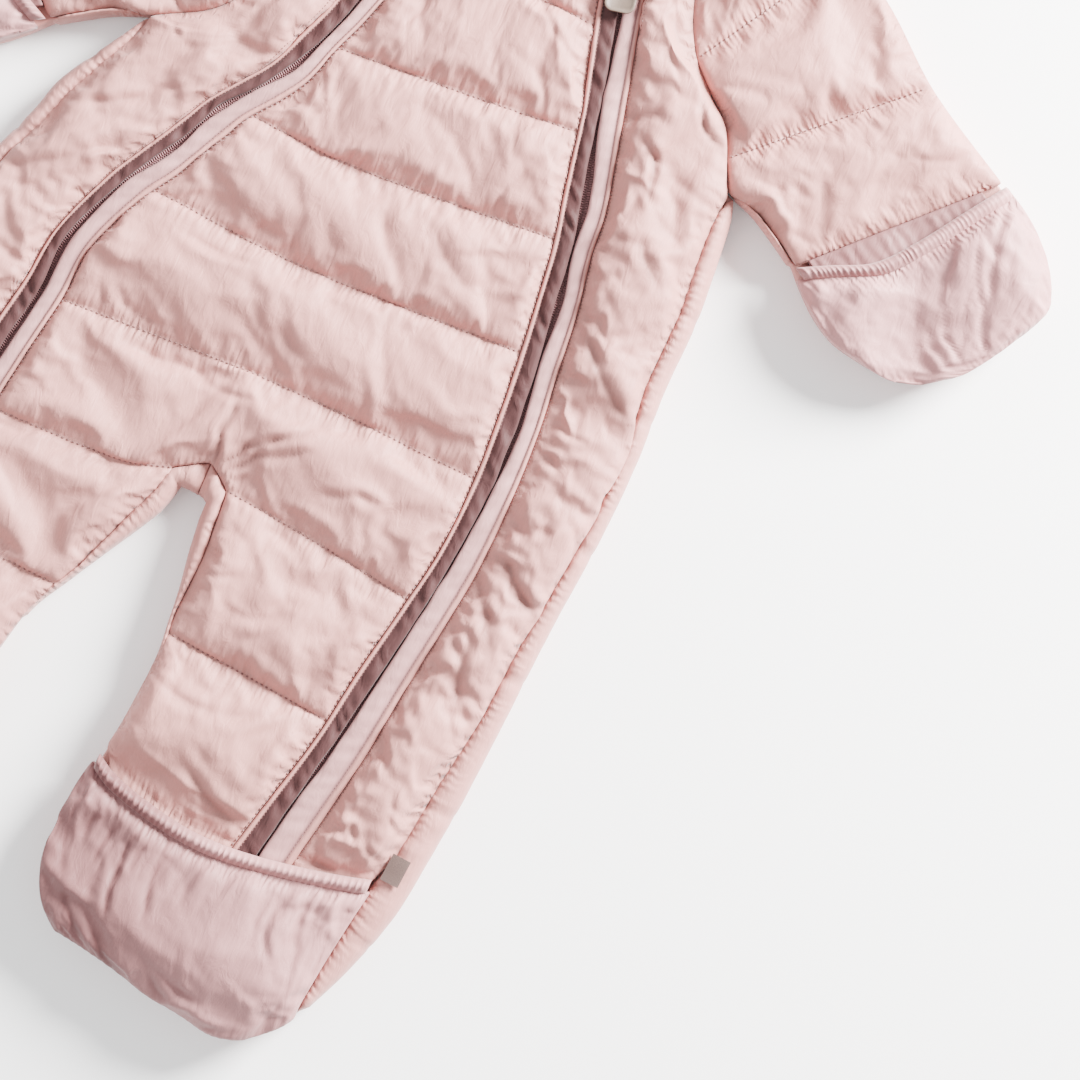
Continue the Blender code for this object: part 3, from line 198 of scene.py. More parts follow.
def smooth_line(points):
    """A smooth curve through (position, value) pairs, going on straight past its ends."""
    knots = sorted((float(p), float(q)) for p, q in points)
    slopes = []
    for i in range(len(knots)):
        before, after = knots[max(i - 1, 0)], knots[min(i + 1, len(knots) - 1)]
        slopes.append((after[1] - before[1]) / (after[0] - before[0]))

    def value(at):
        i = 0
        while i < len(knots) - 2 and at > knots[i + 1][0]:
            i += 1
        (p0, q0), (p1, q1) = knots[i], knots[i + 1]
        if at <= p0:
            return q0 + slopes[i] * (at - p0)
        if at >= p1:
            return q1 + slopes[i + 1] * (at - p1)
        span = p1 - p0
        t = (at - p0) / span
        a, b = slopes[i] * span, slopes[i + 1] * span
        return q0 + t * (a + t * (3 * (q1 - q0) - 2 * a - b + t * (a + b - 2 * (q1 - q0))))

    return value


def table_lines(columns, table):
    """A smooth line for each named column of a table, over its first column."""
    return {name: smooth_line([(row[0], row[k]) for row in table]) for k, name in enumerate(columns) if k}


def quilt_line(row):
    return smooth_line([(row[0], row[1]), (row[2], row[3]), (row[4], row[5])])


TURN_LINES = table_lines(TURN_COLUMNS, RIGHT_LEG_TURN)
INNER = table_lines(INNER_COLUMNS, INNER_LEG)


def left_leg(across, up):
    return across, up


def right_leg(across, up):
    turn = math.radians(TURN_LINES["turn"](up))
    out = (across - 100) * TURN_LINES["stretch"](up)
    return (
        TURN_LINES["spine_across"](up) - out * math.cos(turn),
        TURN_LINES["spine_up"](up) + out * math.sin(turn),
    )


LEG = {"left": left_leg, "right": right_leg}
WAY = {"left": 1, "right": -1}


def zip_lines(side):
    """The zip's lines by name, on the body and on the leg."""
    tables = (ZIP_LEFT, ZIP_LEFT) if side == "left" else (ZIP_RIGHT, ZIP_RIGHT_LEG)
    return [table_lines(ZIP_COLUMNS, table) for table in tables]


def scene_point(u, v, z):
    return (u - ORIGIN_ACROSS) * MM, (v - ORIGIN_UP) * MM, z * MM


def unit(value):
    return min(max(value, 0), 1)


def bell(value):
    return math.exp(-(value**2))


def rounding(distance, width):
    """Share of full height at a distance in from an edge: a quarter round."""
    t = unit(distance / width)
    return math.sqrt(1 - (1 - t) ** 2)


def swell(share):
    """Share of full height from one stitched line to the next."""
    return max(math.sin(math.pi * share), 0) ** 0.72


def grain(u, v, size, seed=0):
    """Smooth unevenness between -1 and 1, its bumps about the given size."""
    return noise.noise((u / size, v / size, 7.3 * seed))


def gather_by(distance, least=0.16, reach=7.0):
    """How strongly the cloth is gathered at a distance from a stitched line."""
    return least + (1 - least) * bell(distance / reach)


CLOTH_LAYERS = ("sewn", "gather", "from_seam", "along_seam")
SAME_POINT = 0.00002


def skin(name, patches, layers=CLOTH_LAYERS, tube=False):
    """A mesh over grids of points (across, up, height, then a value for each layer), joined where they meet.

    The rows of a tube are closed rings, and its first and last rings are filled.
    """
    bm = bmesh.new()
    kept = [bm.verts.layers.float.new(layer) for layer in layers]
    for patch in patches:
        rows = []
        for points in patch:
            row = []
            for u, v, z, *values in points:
                vert = bm.verts.new(scene_point(u, v, z))
                for layer, value in zip(kept, values):
                    vert[layer] = value
                row.append(vert)
            rows.append(row)
        if tube:
            bm.faces.new(rows[0])
            bm.faces.new(reversed(rows[-1]))
            rows = [row + row[:1] for row in rows]
        for lower, upper in zip(rows, rows[1:]):
            for a, b, c, d in zip(lower, lower[1:], upper[1:], upper):
                bm.faces.new((a, b, c, d))
    if not tube:
        bmesh.ops.remove_doubles(bm, verts=bm.verts, dist=SAME_POINT)
    bmesh.ops.recalc_face_normals(bm, faces=bm.faces)
    if not tube and sum(f.normal.z for f in bm.faces) < 0:
        bmesh.ops.reverse_faces(bm, faces=bm.faces)
    mesh = bpy.data.meshes.new(name)
    bm.to_mesh(mesh)
    bm.free()
    return in_scene(name, mesh)


def point_values(mesh, layer):
    values = np.zeros(len(mesh.vertices), dtype=np.float32)
    if layer in mesh.attributes:
        mesh.attributes[layer].data.foreach_get("value", values)
    return values


def keep_values(mesh, layer, values):
    if layer not in mesh.attributes:
        mesh.attributes.new(layer, "FLOAT", "POINT")
    mesh.attributes[layer].data.foreach_set("value", values.astype(np.float32))


def point_places(mesh):
    places = np.empty(3 * len(mesh.vertices), dtype=np.float32)
    mesh.vertices.foreach_get("co", places)
    return places.reshape(-1, 3)


def settle(obj, lift=0.5, gather=0.15):
    """Lets the padding lift the cloth between its seams, where the stitching gathers it, and keeps that."""
    scene = bpy.context.scene
    sewn = obj.vertex_groups.new(name="sewn")
    taut = obj.vertex_groups.new(name="taut")
    for i, (s, g) in enumerate(zip(point_values(obj.data, "sewn"), point_values(obj.data, "gather"))):
        sewn.add([i], float(s), "REPLACE")
        taut.add([i], 1 - float(g), "REPLACE")
    cloth = obj.modifiers.new("settle", "CLOTH")
    for name, value in {
        "quality": 5,
        "mass": 0.05,
        "tension_stiffness": 12,
        "compression_stiffness": 12,
        "shear_stiffness": 4,
        "bending_stiffness": 0.05,
        "air_damping": 2,
        "vertex_group_mass": "sewn",
        "vertex_group_shrink": "taut",
        "shrink_min": -gather,
        "shrink_max": 0.0,
        "use_pressure": True,
        "uniform_pressure_force": lift,
    }.items():
        setattr(cloth.settings, name, value)
    cloth.settings.effector_weights.gravity = 0
    cloth.collision_settings.use_collision = False
    cloth.point_cache.frame_start = 1
    cloth.point_cache.frame_end = SETTLING_FRAMES
    for step in range(1, SETTLING_FRAMES + 1):
        scene.frame_set(step)
    settled = obj.evaluated_get(bpy.context.evaluated_depsgraph_get())
    places = point_places(settled.data)
    obj.modifiers.remove(cloth)
    obj.vertex_groups.clear()
    scene.frame_set(1)
    obj.data.vertices.foreach_set("co", places.ravel())


def select_only(*objects):
    bpy.ops.object.select_all(action="DESELECT")
    for obj in objects:
        obj.select_set(True)
    bpy.context.view_layer.objects.active = objects[0]


def keep_modifier(obj, modifier):
    select_only(obj)
    bpy.ops.object.modifier_apply(modifier=modifier.name)


def make_finer(obj):
    finer = obj.modifiers.new("finer", "SUBSURF")
    finer.levels = finer.render_levels = 1
    keep_modifier(obj, finer)


def press_folds(obj, folds):
    """Presses creases into the cloth, sharp at the bottom, soft at the sides, with a low ridge along one
    side, and paints shade along their bottoms.
    """
    places = point_places(obj.data)
    u = places[:, 0] / MM + ORIGIN_ACROSS
    v = places[:, 1] / MM + ORIGIN_UP
    fade = 1 - np.exp(-((point_values(obj.data, "from_seam") / 3.0) ** 2))
    sink = np.zeros(len(u))
    crease_shade = np.zeros(len(u))
    for u1, v1, u2, v2, width, depth in folds:
        du, dv = u2 - u1, v2 - v1
        length = math.hypot(du, dv)
        t = ((u - u1) * du + (v - v1) * dv) / length**2
        bow = 0.06 * length * np.sin(np.pi * np.clip(t, 0, 1))
        across = ((u - u1) * dv - (v - v1) * du) / length - bow
        taper = np.exp(-((np.abs(t - 0.5) / 0.62) ** 4))
        x = across / (width * (0.75 + 0.25 * taper))
        ridge = 0.5 * np.exp(-(((x + 1.7) / 1.1) ** 2)) + 0.2 * np.exp(-(((x - 1.9) / 1.0) ** 2))
        grip = fade ** (0.3 if depth > 3.3 else 1)
        sink += 0.62 * depth * taper * grip * (np.exp(-1.1 * np.sqrt(x**2 + 0.02)) - ridge)
        # Painted shade, darkest along the bottom of the deeper creases.
        crease_shade += 0.9 * min(depth / 4.5, 1) ** 2 * taper * grip * np.exp(-((x / 0.75) ** 2))
    places[:, 2] -= (sink * MM).astype(np.float32)
    obj.data.vertices.foreach_set("co", places.ravel())
    keep_values(obj.data, "groove", np.minimum(crease_shade, 0.9))


def pucker(obj, height=0.8, pitch=6.5, reach=6.5, groove=0.6):
    """Draws the cloth in along its stitched lines: a narrow groove, and small tucks that fade away from it.

    It also notes where the cloth can take fine tucks: not in the corners, where two seams pull at it.
    """
    places = point_places(obj.data)
    distance = point_values(obj.data, "from_seam")
    above = places[:, 2] / MM - SEAM_HEIGHT
    places[:, 2] -= (0.4 * above * np.exp(-((distance / 4.5) ** 2)) * MM).astype(np.float32)
    along = point_values(obj.data, "along_seam")
    drift = np.array([grain(a, 0.4 * d, 23, 5) for a, d in zip(along, distance)])
    patchy = np.array([grain(a, 0.2 * d, 31, 6) for a, d in zip(along, distance)])
    strength = 0.55 + 0.9 * np.maximum(patchy + 0.25, 0)
    wave = np.sin(2 * np.pi * (along / pitch + 1.6 * drift))
    fade = np.exp(-distance / reach) * (1 - np.exp(-((distance / 1.2) ** 2)))
    lift = height * strength * wave * fade - groove * np.exp(-((distance / 1.3) ** 2))
    places[:, 2] += (lift * MM).astype(np.float32)
    obj.data.vertices.foreach_set("co", places.ravel())
    ends = np.empty(2 * len(obj.data.edges), dtype=np.int32)
    obj.data.edges.foreach_get("vertices", ends)
    first, second = ends.reshape(-1, 2).T
    length = np.linalg.norm(places[first] - places[second], axis=1) / MM
    turn = np.abs(along[first] - along[second]) / np.maximum(length, 0.1)
    worst = np.zeros(len(places))
    np.maximum.at(worst, first, turn)
    np.maximum.at(worst, second, turn)
    keep_values(obj.data, "tuck", np.clip(2.2 - 1.6 * worst, 0, 1))


def close_below(obj, base):
    """Turns the cloth's edge down and closes the piece with a plain underside."""
    bm = bmesh.new()
    bm.from_mesh(obj.data)
    rim = [e for e in bm.edges if e.is_boundary]
    skirt = bmesh.ops.extrude_edge_only(bm, edges=rim)["geom"]
    for vert in (g for g in skirt if isinstance(g, bmesh.types.BMVert)):
        vert.co.z = base * MM
    low = [g for g in skirt if isinstance(g, bmesh.types.BMEdge) and g.is_boundary]
    bmesh.ops.contextual_create(bm, geom=low)
    bmesh.ops.recalc_face_normals(bm, faces=bm.faces)
    bm.to_mesh(obj.data)
    bm.free()


def node_adder(tree):
    """Makes add(kind, ...), which puts a node into the tree and sets it up.

    Names in lower case are the node's own settings. The others are its sockets, by name or as _0, _1 and so
    on, and get a value or a link from another node's output.
    """

    def add(kind, **given):
        node = tree.nodes.new("ShaderNode" + kind)
        for name, value in given.items():
            if name.islower():
                setattr(node, name, value)
                continue
            socket = node.inputs[int(name[1:]) if name[0] == "_" else name.replace("_", " ")]
            if isinstance(value, bpy.types.NodeSocket):
                tree.links.new(value, socket)
            else:
                socket.default_value = value
        return node

    return add


def spread(add, value, low, high, from_low=0.0, from_high=1.0):
    """A value taken from one range to another."""
    given = {"From_Min": from_low, "From_Max": from_high, "To_Min": low, "To_Max": high}
    return add("MapRange", Value=value, **given).outputs[0]


def tinted(add, colour, strength):
    return add("VectorMath", operation="SCALE", _0=colour, Scale=strength).outputs[0]


def worked_out(add, operation, first, second=0.0):
    return add("Math", operation=operation, _0=first, _1=second).outputs[0]


def new_material(name):
    """A material, what adds nodes to it, and its main shader."""
    made = bpy.data.materials.new(name)
    made.use_nodes = True
    return made, node_adder(made.node_tree), made.node_tree.nodes["Principled BSDF"]


def make_woven_shell():
    """Colour, roughness and normal of a light plain weave: faint slubs, fine creases, tucks at the seams."""
    group = bpy.data.node_groups.new("woven_shell", "ShaderNodeTree")
    for in_out, kind, names in (
        ("INPUT", "Color", ("Colour", "Shade")),
        ("INPUT", "Float", ("Groove", "Rumple", "Tuck", "From Seam", "Along Seam")),
        ("OUTPUT", "Color", ("Colour",)),
        ("OUTPUT", "Float", ("Roughness",)),
        ("OUTPUT", "Vector", ("Normal",)),
    ):
        for name in names:
            group.interface.new_socket(name, in_out=in_out, socket_type="NodeSocket" + kind)
    add = node_adder(group)
    given = group.nodes.new("NodeGroupInput").outputs
    place = add("TexCoord").outputs["Object"]
    stretched = add("Mapping", Vector=place, Scale=(1500, 190, 500)).outputs[0]
    slub = add("TexNoise", Vector=stretched, Scale=1.0, Detail=2.0).outputs["Fac"]
    drawn = add("Mapping", Vector=place, Scale=(150, 62, 90), Rotation=(0, 0, 0.35)).outputs[0]
    rumple = add("TexNoise", Vector=drawn, Scale=1.0, Detail=5.0, Distortion=1.1).outputs["Fac"]
    patchy = add("TexNoise", Vector=place, Scale=55.0, Detail=2.0).outputs["Fac"]
    cloud = add("TexNoise", Vector=place, Scale=16.0, Detail=3.0).outputs["Fac"]
    tone = spread(add, cloud, 0.0, 0.09, 0.3, 0.7)
    # Painted shade: Groove, added to the cloth's own uneven tone, takes the colour towards Shade in seams and
    # creases.
    shade = add("Math", operation="ADD", use_clamp=True, _0=tone, _1=given["Groove"]).outputs[0]
    dyed = add("Mix", data_type="RGBA", Factor=shade, _6=given["Colour"], _7=given["Shade"]).outputs[2]
    colour = tinted(add, dyed, spread(add, slub, 0.94, 1.04, 0.3, 0.7))
    soft = add("Bump", Height=rumple, Distance=0.0014, Strength=given["Rumple"]).outputs[0]
    beat = worked_out(add, "MULTIPLY", given["Along Seam"], 2.15)
    drift = worked_out(add, "MULTIPLY", rumple, 9.0)
    wave = worked_out(add, "SINE", worked_out(add, "ADD", beat, drift))
    fade = worked_out(add, "EXPONENT", worked_out(add, "MULTIPLY", given["From Seam"], -0.26))
    fade = worked_out(add, "MULTIPLY", fade, spread(add, patchy, 0.1, 1.0, 0.38, 0.62))
    gathered = worked_out(add, "MULTIPLY", wave, fade)
    tuck = add("Bump", Height=gathered, Distance=0.00058, Strength=given["Tuck"], Normal=soft).outputs[0]
    fine = add("Bump", Height=slub, Distance=0.00012, Strength=0.6, Normal=tuck).outputs[0]
    out = group.nodes.new("NodeGroupOutput").inputs
    for name, value in (("Colour", colour), ("Roughness", spread(add, cloud, 0.56, 0.70)), ("Normal", fine)):
        group.links.new(value, out[name])
    return group


WOVEN_SHELL = make_woven_shell()


def shell_cloth(name, colour, shade, rumple=0.5, tuck=1.0, trim_colour=None):
    """The snowsuit's shell fabric: matt with a faint silky sheen, and painted shade in seams and creases."""
    made, add, shader = new_material(name)
    links = made.node_tree.links

    def kept(layer):
        return add("Attribute", attribute_name=layer).outputs["Fac"]

    woven = add(
        "Group",
        node_tree=WOVEN_SHELL,
        Colour=(*colour, 1),
        Shade=(*shade, 1),
        Groove=kept("groove"),
        Rumple=rumple,
        Tuck=worked_out(add, "MULTIPLY", kept("tuck"), tuck),
        From_Seam=kept("from_seam"),
        Along_Seam=kept("along_seam"),
    )
    if trim_colour:
        trim = add("Mix", data_type="RGBA", Factor=kept("trim"), _6=(*colour, 1), _7=(*trim_colour, 1))
        links.new(trim.outputs[2], woven.inputs["Colour"])
    for name, socket in (("Colour", "Base Color"), ("Roughness", "Roughness"), ("Normal", "Normal")):
        links.new(woven.outputs[name], shader.inputs[socket])
    shader.inputs["Sheen Weight"].default_value = 0.12
    shader.inputs["Sheen Roughness"].default_value = 0.45
    shader.inputs["Specular IOR Level"].default_value = 0.35
    return made


def paint_seam_shade(obj, reach=1.5, most=0.22):
    """Paints shade into the cloth's colour near its seams, deepest down in them."""
    near = np.exp(-((point_values(obj.data, "from_seam") / reach) ** 2))
    keep_values(obj.data, "groove", np.minimum(point_values(obj.data, "groove") + most * near, 1))


def plump_up(piece, folds, place, settling, puckers):
    """Fills a padded piece out, presses its folds, draws in its seams, paints shade into them and closes it.

    place() takes the ends of the folds to where the piece lies.
    """
    settle(piece, **settling)
    make_finer(piece)
    press_folds(piece, [(*place(a, b), *place(c, d), width, depth) for a, b, c, d, width, depth in folds])
    pucker(piece, **puckers)
    paint_seam_shade(piece)
    close_below(piece, FRONT_BASE)


def dress(obj, cloth, slot, *nodes):
    """Gives a finished piece its cloth, and puts it in place of the solids that it stands for."""
    for layer in ("sewn", "gather"):
        if layer in obj.data.attributes:
            obj.data.attributes.remove(obj.data.attributes[layer])
    obj.data.materials.append(cloth)
    obj.data.shade_smooth()
    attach(obj, "suit")
    if nodes:
        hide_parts(*nodes)


def line_points(line, pitch):
    """Evenly spaced points along a line of (across, up), each with its direction."""
    places = [Vector(p) for p in line]
    spots = []
    ahead = 0.0
    for a, b in zip(places, places[1:]):
        length = (b - a).length
        if length < 1e-6:
            continue
        while ahead < length:
            spots.append((a + (b - a) * (ahead / length), (b - a) / length))
            ahead += pitch
        ahead -= length
    return spots


def mesh_of(name, verts, faces):
    mesh = bpy.data.meshes.new(name)
    mesh.from_pydata(verts, [], faces)
    mesh.update()
    return in_scene(name, mesh)


def grained(name, colour, fine, cloud, tones, bump, rough, metallic=0.0, sheen=0.0):
    """A surface with a fine raised grain, its tone and gloss varying over it.

    fine and cloud are the scale and detail of two noises. The cloud, or else the fine one, takes the colour
    from one of two tones to the other over a range. bump is the grain's height and strength, rough its range.
    """
    made, add, shader = new_material(name)
    place = add("TexCoord").outputs["Object"]
    grains = [add("TexNoise", Vector=place, Scale=a, Detail=b).outputs["Fac"] for a, b in (fine, cloud) if a]
    raised = add("Bump", Height=grains[0], Distance=bump[0], Strength=bump[1]).outputs[0]
    for socket, value in (
        ("Base Color", tinted(add, colour, spread(add, grains[-1], *tones))),
        ("Roughness", spread(add, grains[0], *rough)),
        ("Normal", raised),
    ):
        made.node_tree.links.new(value, shader.inputs[socket])
    shader.inputs["Metallic"].default_value = metallic
    shader.inputs["Sheen Weight"].default_value = sheen
    return made


def sew(name, cloth, lines, thread, pitch=2.8, length=1.9, radius=0.5, raise_by=0.25):
    """Rows of machine stitches lying on a finished piece of cloth, along lines of (across, up)."""
    tree = BVHTree.FromObject(cloth, bpy.context.evaluated_depsgraph_get())
    down = Vector((0, 0, -1))

    def height(p):
        hit = tree.ray_cast(Vector(scene_point(p.x, p.y, 60)), down)[0]
        return None if hit is None else hit.z / MM

    verts, faces = [], []
    sides = 5
    for line in lines:
        for spot, along in line_points(line, pitch):
            ends = [spot - along * length * 0.5, spot + along * length * 0.5]
            z0, z1 = height(ends[0]), height(ends[1])
            if z0 is None or z1 is None or abs(z1 - z0) > length:
                continue
            a = Vector((*ends[0], z0 + raise_by))
            b = Vector((*ends[1], z1 + raise_by))
            axis = (b - a).normalized()
            side_way = axis.cross(Vector((0, 0, 1))).normalized()
            up_way = side_way.cross(axis)
            start = len(verts)
            verts.append(scene_point(*(a - up_way * radius)))
            for share in (0.28, 0.72):
                centre = a + (b - a) * share
                for k in range(sides):
                    angle = 2 * math.pi * k / sides
                    p = centre + (side_way * math.cos(angle) + up_way * math.sin(angle)) * radius
                    verts.append(scene_point(*p))
            verts.append(scene_point(*(b - up_way * radius)))
            tip = start + 1 + 2 * sides
            for k in range(sides):
                j = (k + 1) % sides
                faces.append((start, start + 1 + j, start + 1 + k))
                faces.append((start + 1 + k, start + 1 + j, start + 1 + sides + j, start + 1 + sides + k))
                faces.append((start + 1 + sides + k, start + 1 + sides + j, tip))
    seam = mesh_of(name, verts, faces)
    seam.data.materials.append(thread)
    seam.data.shade_smooth()
    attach(seam, "suit")
    return seam


def grid(rows, columns, point):
    """Rows of points, each at a share of the way down and a share of the way across."""
    return [[point(i / rows, k / columns) for k in range(columns + 1)] for i in range(rows + 1)]


def quilted_grid(lines, columns, point, span_at=50):
    """Rows of points about a step apart between stitched lines.

    Each row is a curve, with its share of the way from line to line and the length of that way.
    """
    rows = []
    for first, second in zip(lines, lines[1:]):
        span = abs(first(span_at) - second(span_at))
        count = max(round(span / FRONT_STEP), 2)
        for i in range(count):
            t = i / count
            rows.append((lambda x, f=first, g=second, t=t: (1 - t) * f(x) + t * g(x), t, span))
    rows.append((lines[-1], 0.0, 50.0))
    return [[point(k / columns, *row) for k in range(columns + 1)] for row in rows]


def quilt_point(x, y, share, span, low_gap, high_gap, along, run):
    """One point of a quilted panel: place and height, then what the settling and the seams need."""
    edge = min(rounding(low_gap, 15), rounding(high_gap, 15))
    full = FRONT_PUFF * min(span / 58, 1.15) + 1.4 * grain(x, y, 31, 1)
    height = SEAM_HEIGHT + full * swell(share) * edge + 0.2 * grain(x, y, 6, 2) * edge
    from_line = min(share, 1 - share) * span
    from_side = min(low_gap, high_gap)
    sewn = 1.0 if share == 0 or from_side < 0.05 else 0.0
    nearest = min(from_line, from_side)
    track = along if from_line <= from_side else 0.5 * run
    return x, y, height, sewn, gather_by(nearest), nearest, track


def eased_to_hem(height, up, opening):
    """Lowers a point near the foot cover's opening to lie flat under it, and says if it is sewn there."""
    ease = unit((up - opening - 1) / 18)
    return HEM_HEIGHT - 1.0 + (height - HEM_HEIGHT + 1.0) * ease, ease == 0


def inner_front_edge(up):
    return INNER["seam"](up) + 0.2 + 9.0 * unit((-146 - up) / 12)


def make_front_centre():
    left, _ = zip_lines("left")
    right, right_zip_leg = zip_lines("right")
    crotch_u, crotch_v = CROTCH_POINT
    left_line, right_line = quilt_line(CROTCH_LEFT), quilt_line(CROTCH_RIGHT)

    def crotch_row(u):
        if u >= CROTCH_LEFT[0]:
            return left_line(u)
        if u <= CROTCH_RIGHT[0]:
            return right_line(u)
        corner = CROTCH_LEFT if u > crotch_u else CROTCH_RIGHT
        t = (u - crotch_u) / (corner[0] - crotch_u)
        return crotch_v + (corner[1] - crotch_v) * t

    columns = 76
    wide = left["inner"](-10) - right["inner"](-10)
    right_corner = round(columns * (CROTCH_RIGHT[0] - right["inner"](-6)) / wide)
    left_corner = round(columns * (CROTCH_LEFT[0] - right["inner"](-6)) / wide)

    def torso_point(t, curve, share, span):
        u = 0.0
        for _ in range(8):
            up = curve(u)
            low, high = right["inner"](up) + ZIP_GAP, left["inner"](up) - ZIP_GAP
            u = low + (high - low) * t
        k = round(t * columns)
        if curve is crotch_row and right_corner <= k <= left_corner:
            t = (k - right_corner) / (left_corner - right_corner)
            u = CROTCH_RIGHT[0] + (CROTCH_LEFT[0] - CROTCH_RIGHT[0]) * t
        up = curve(u)
        return quilt_point(u, up, share, span, u - low, high - u, u, up)

    torso = quilted_grid([quilt_line(row) for row in FRONT_QUILTS] + [crotch_row], columns, torso_point)
    patches = [torso]
    opening = smooth_line(FOOT_OPENING)
    for side, zip_inner, joined in (
        ("left", left["inner"], torso[-1][left_corner:]),
        ("right", right_zip_leg["inner"], torso[-1][right_corner::-1]),
    ):

        def leg_point(t, curve, share, span):
            u = 60.0
            for _ in range(8):
                up = curve(u)
                low, high = inner_front_edge(up), zip_inner(up) - ZIP_GAP
                u = low + (high - low) * t
            up = curve(u)
            x, y, z, sewn, *rest = quilt_point(*LEG[side](u, up), share, span, u - low, high - u, u, up)
            z, hemmed = eased_to_hem(z, up, opening(u))
            return x, y, z, 1.0 if hemmed else sewn, *rest

        top = smooth_line([(abs(p[0]), p[1]) for p in joined])
        leg_lines = [top, *(quilt_line(row) for row in LEG_QUILTS), lambda x: LEG_END]
        patches.append([joined] + quilted_grid(leg_lines, len(joined) - 1, leg_point)[1:])
    return skin("front_centre_cloth", patches)


# Twisted sewing thread, its ply lines too fine to stand out.
THREAD = grained(
    "rose_thread", THREAD_ROSE, (2600, 1), (60, 2), (0.8, 1.2), (0.0002, 0.5), (0.6, 0.6), sheen=0.2
)
SHELL = shell_cloth("rose_shell", SHELL_ROSE, SHELL_SHADE)
front_centre = make_front_centre()
plump_up(front_centre, FRONT_FOLDS, left_leg, {"lift": 0.4, "gather": 0.12}, {})
dress(front_centre, SHELL, "shell_cloth", "front_centre")


def straight(curve, low, high, step=4.0):
    """Points along a line given as a height for each place across."""
    count = max(round(abs(high - low) / step), 1)
    return [(low + (high - low) * i / count, curve(low + (high - low) * i / count)) for i in range(count + 1)]


def front_seams():
    """The stitched lines that show on the centre panel: its quilting, and both long edges beside the zips."""
    left, _ = zip_lines("left")
    right, right_leg = zip_lines("right")
    lines = []
    for row in FRONT_QUILTS[1:]:
        curve = quilt_line(row)
        lines.append(straight(curve, right["inner"](curve(row[0])) + 2.4, left["inner"](curve(row[4])) - 2.4))
    for row, inner in ((CROTCH_LEFT, left["inner"]), (CROTCH_RIGHT, right["inner"])):
        curve = quilt_line(row)
        lines.append(straight(curve, row[0], inner(curve(row[4])) + (-2.4 if row[0] > 0 else 2.4)))
    for side, inner in (("left", left["inner"]), ("right", right_leg["inner"])):
        curve = quilt_line(LEG_QUILTS[0])
        row = straight(curve, INNER["seam"](curve(15)) + 1.5, inner(curve(103)) - 2.4)
        lines.append([LEG[side](u, v) for u, v in row])
    heights = range(338, -170, -6)
    lines.append([(left["inner"](up) - 0.9, up) for up in heights])
    lines.append([(right["inner"](up) + 0.9, up) for up in heights if up > -12])
    lines.append([LEG["right"](right_leg["inner"](up) - 0.9, up) for up in heights if up < -26])
    return lines


sew("front_centre_stitches", front_centre, front_seams(), THREAD)

# ---- Front, side panels --------------------------------------------------------------
# The same padded shell, unquilted, from the zips out to the side seams and up to the armholes. It is cut
# longer than the zips and gathered into them, so that it stands in soft folds all the way down.
SIDE_COLUMNS = ("up", "edge", "seam")
SIDE_LEFT = (
    (233, 186.5, 183), (222, 190, 181.5), (200, 192.5, 182), (170, 195, 184.5), (130, 194.5, 184),
    (90, 196.3, 187.5), (50, 195.3, 186.5), (10, 192, 182.5), (-20, 190, 179), (-60, 188, 176),
    (-100, 185.5, 170), (-140, 181.3, 165), (-160, 179, 160.5), (-180, 174.5, 157), (-205, 166, 153.5),
    (-232, 154.5, 150.5),
)
SIDE_RIGHT = (
    (196, -120.5, -117), (185, -127.5, -121), (170, -137, -128.5), (150, -148.5, -138),
    (130, -154.5, -145), (100, -166, -156.5), (70, -176, -167), (40, -186, -177), (10, -195.5, -186),
    (-10, -199.5, -190),
)
ARMHOLE_LEFT = (
    (233, 183), (243, 178), (252, 174), (262, 168), (276, 154), (290, 140), (315, 128), (345, 123),
    (376, 121.3),
)
ARMHOLE_RIGHT = (
    (196, -120.5), (203, -108), (210, -95), (218, -86), (235, -74), (262, -62), (290, -50), (315, -41.5),
    (345, -36), (370, -34.7),
)
SIDE = {"left": table_lines(SIDE_COLUMNS, SIDE_LEFT), "right": table_lines(SIDE_COLUMNS, SIDE_RIGHT)}
ARMHOLE = {"left": ARMHOLE_LEFT, "right": ARMHOLE_RIGHT}
HIP = {"left": -15.0, "right": -22.0}
HIP_BLEND = 24
SIDE_GATHER = {"left": 0.17, "right": 0.12}
NECK_SLOPE = {"left": (88, 345, 0.93), "right": (0, 341.5, -0.83)}
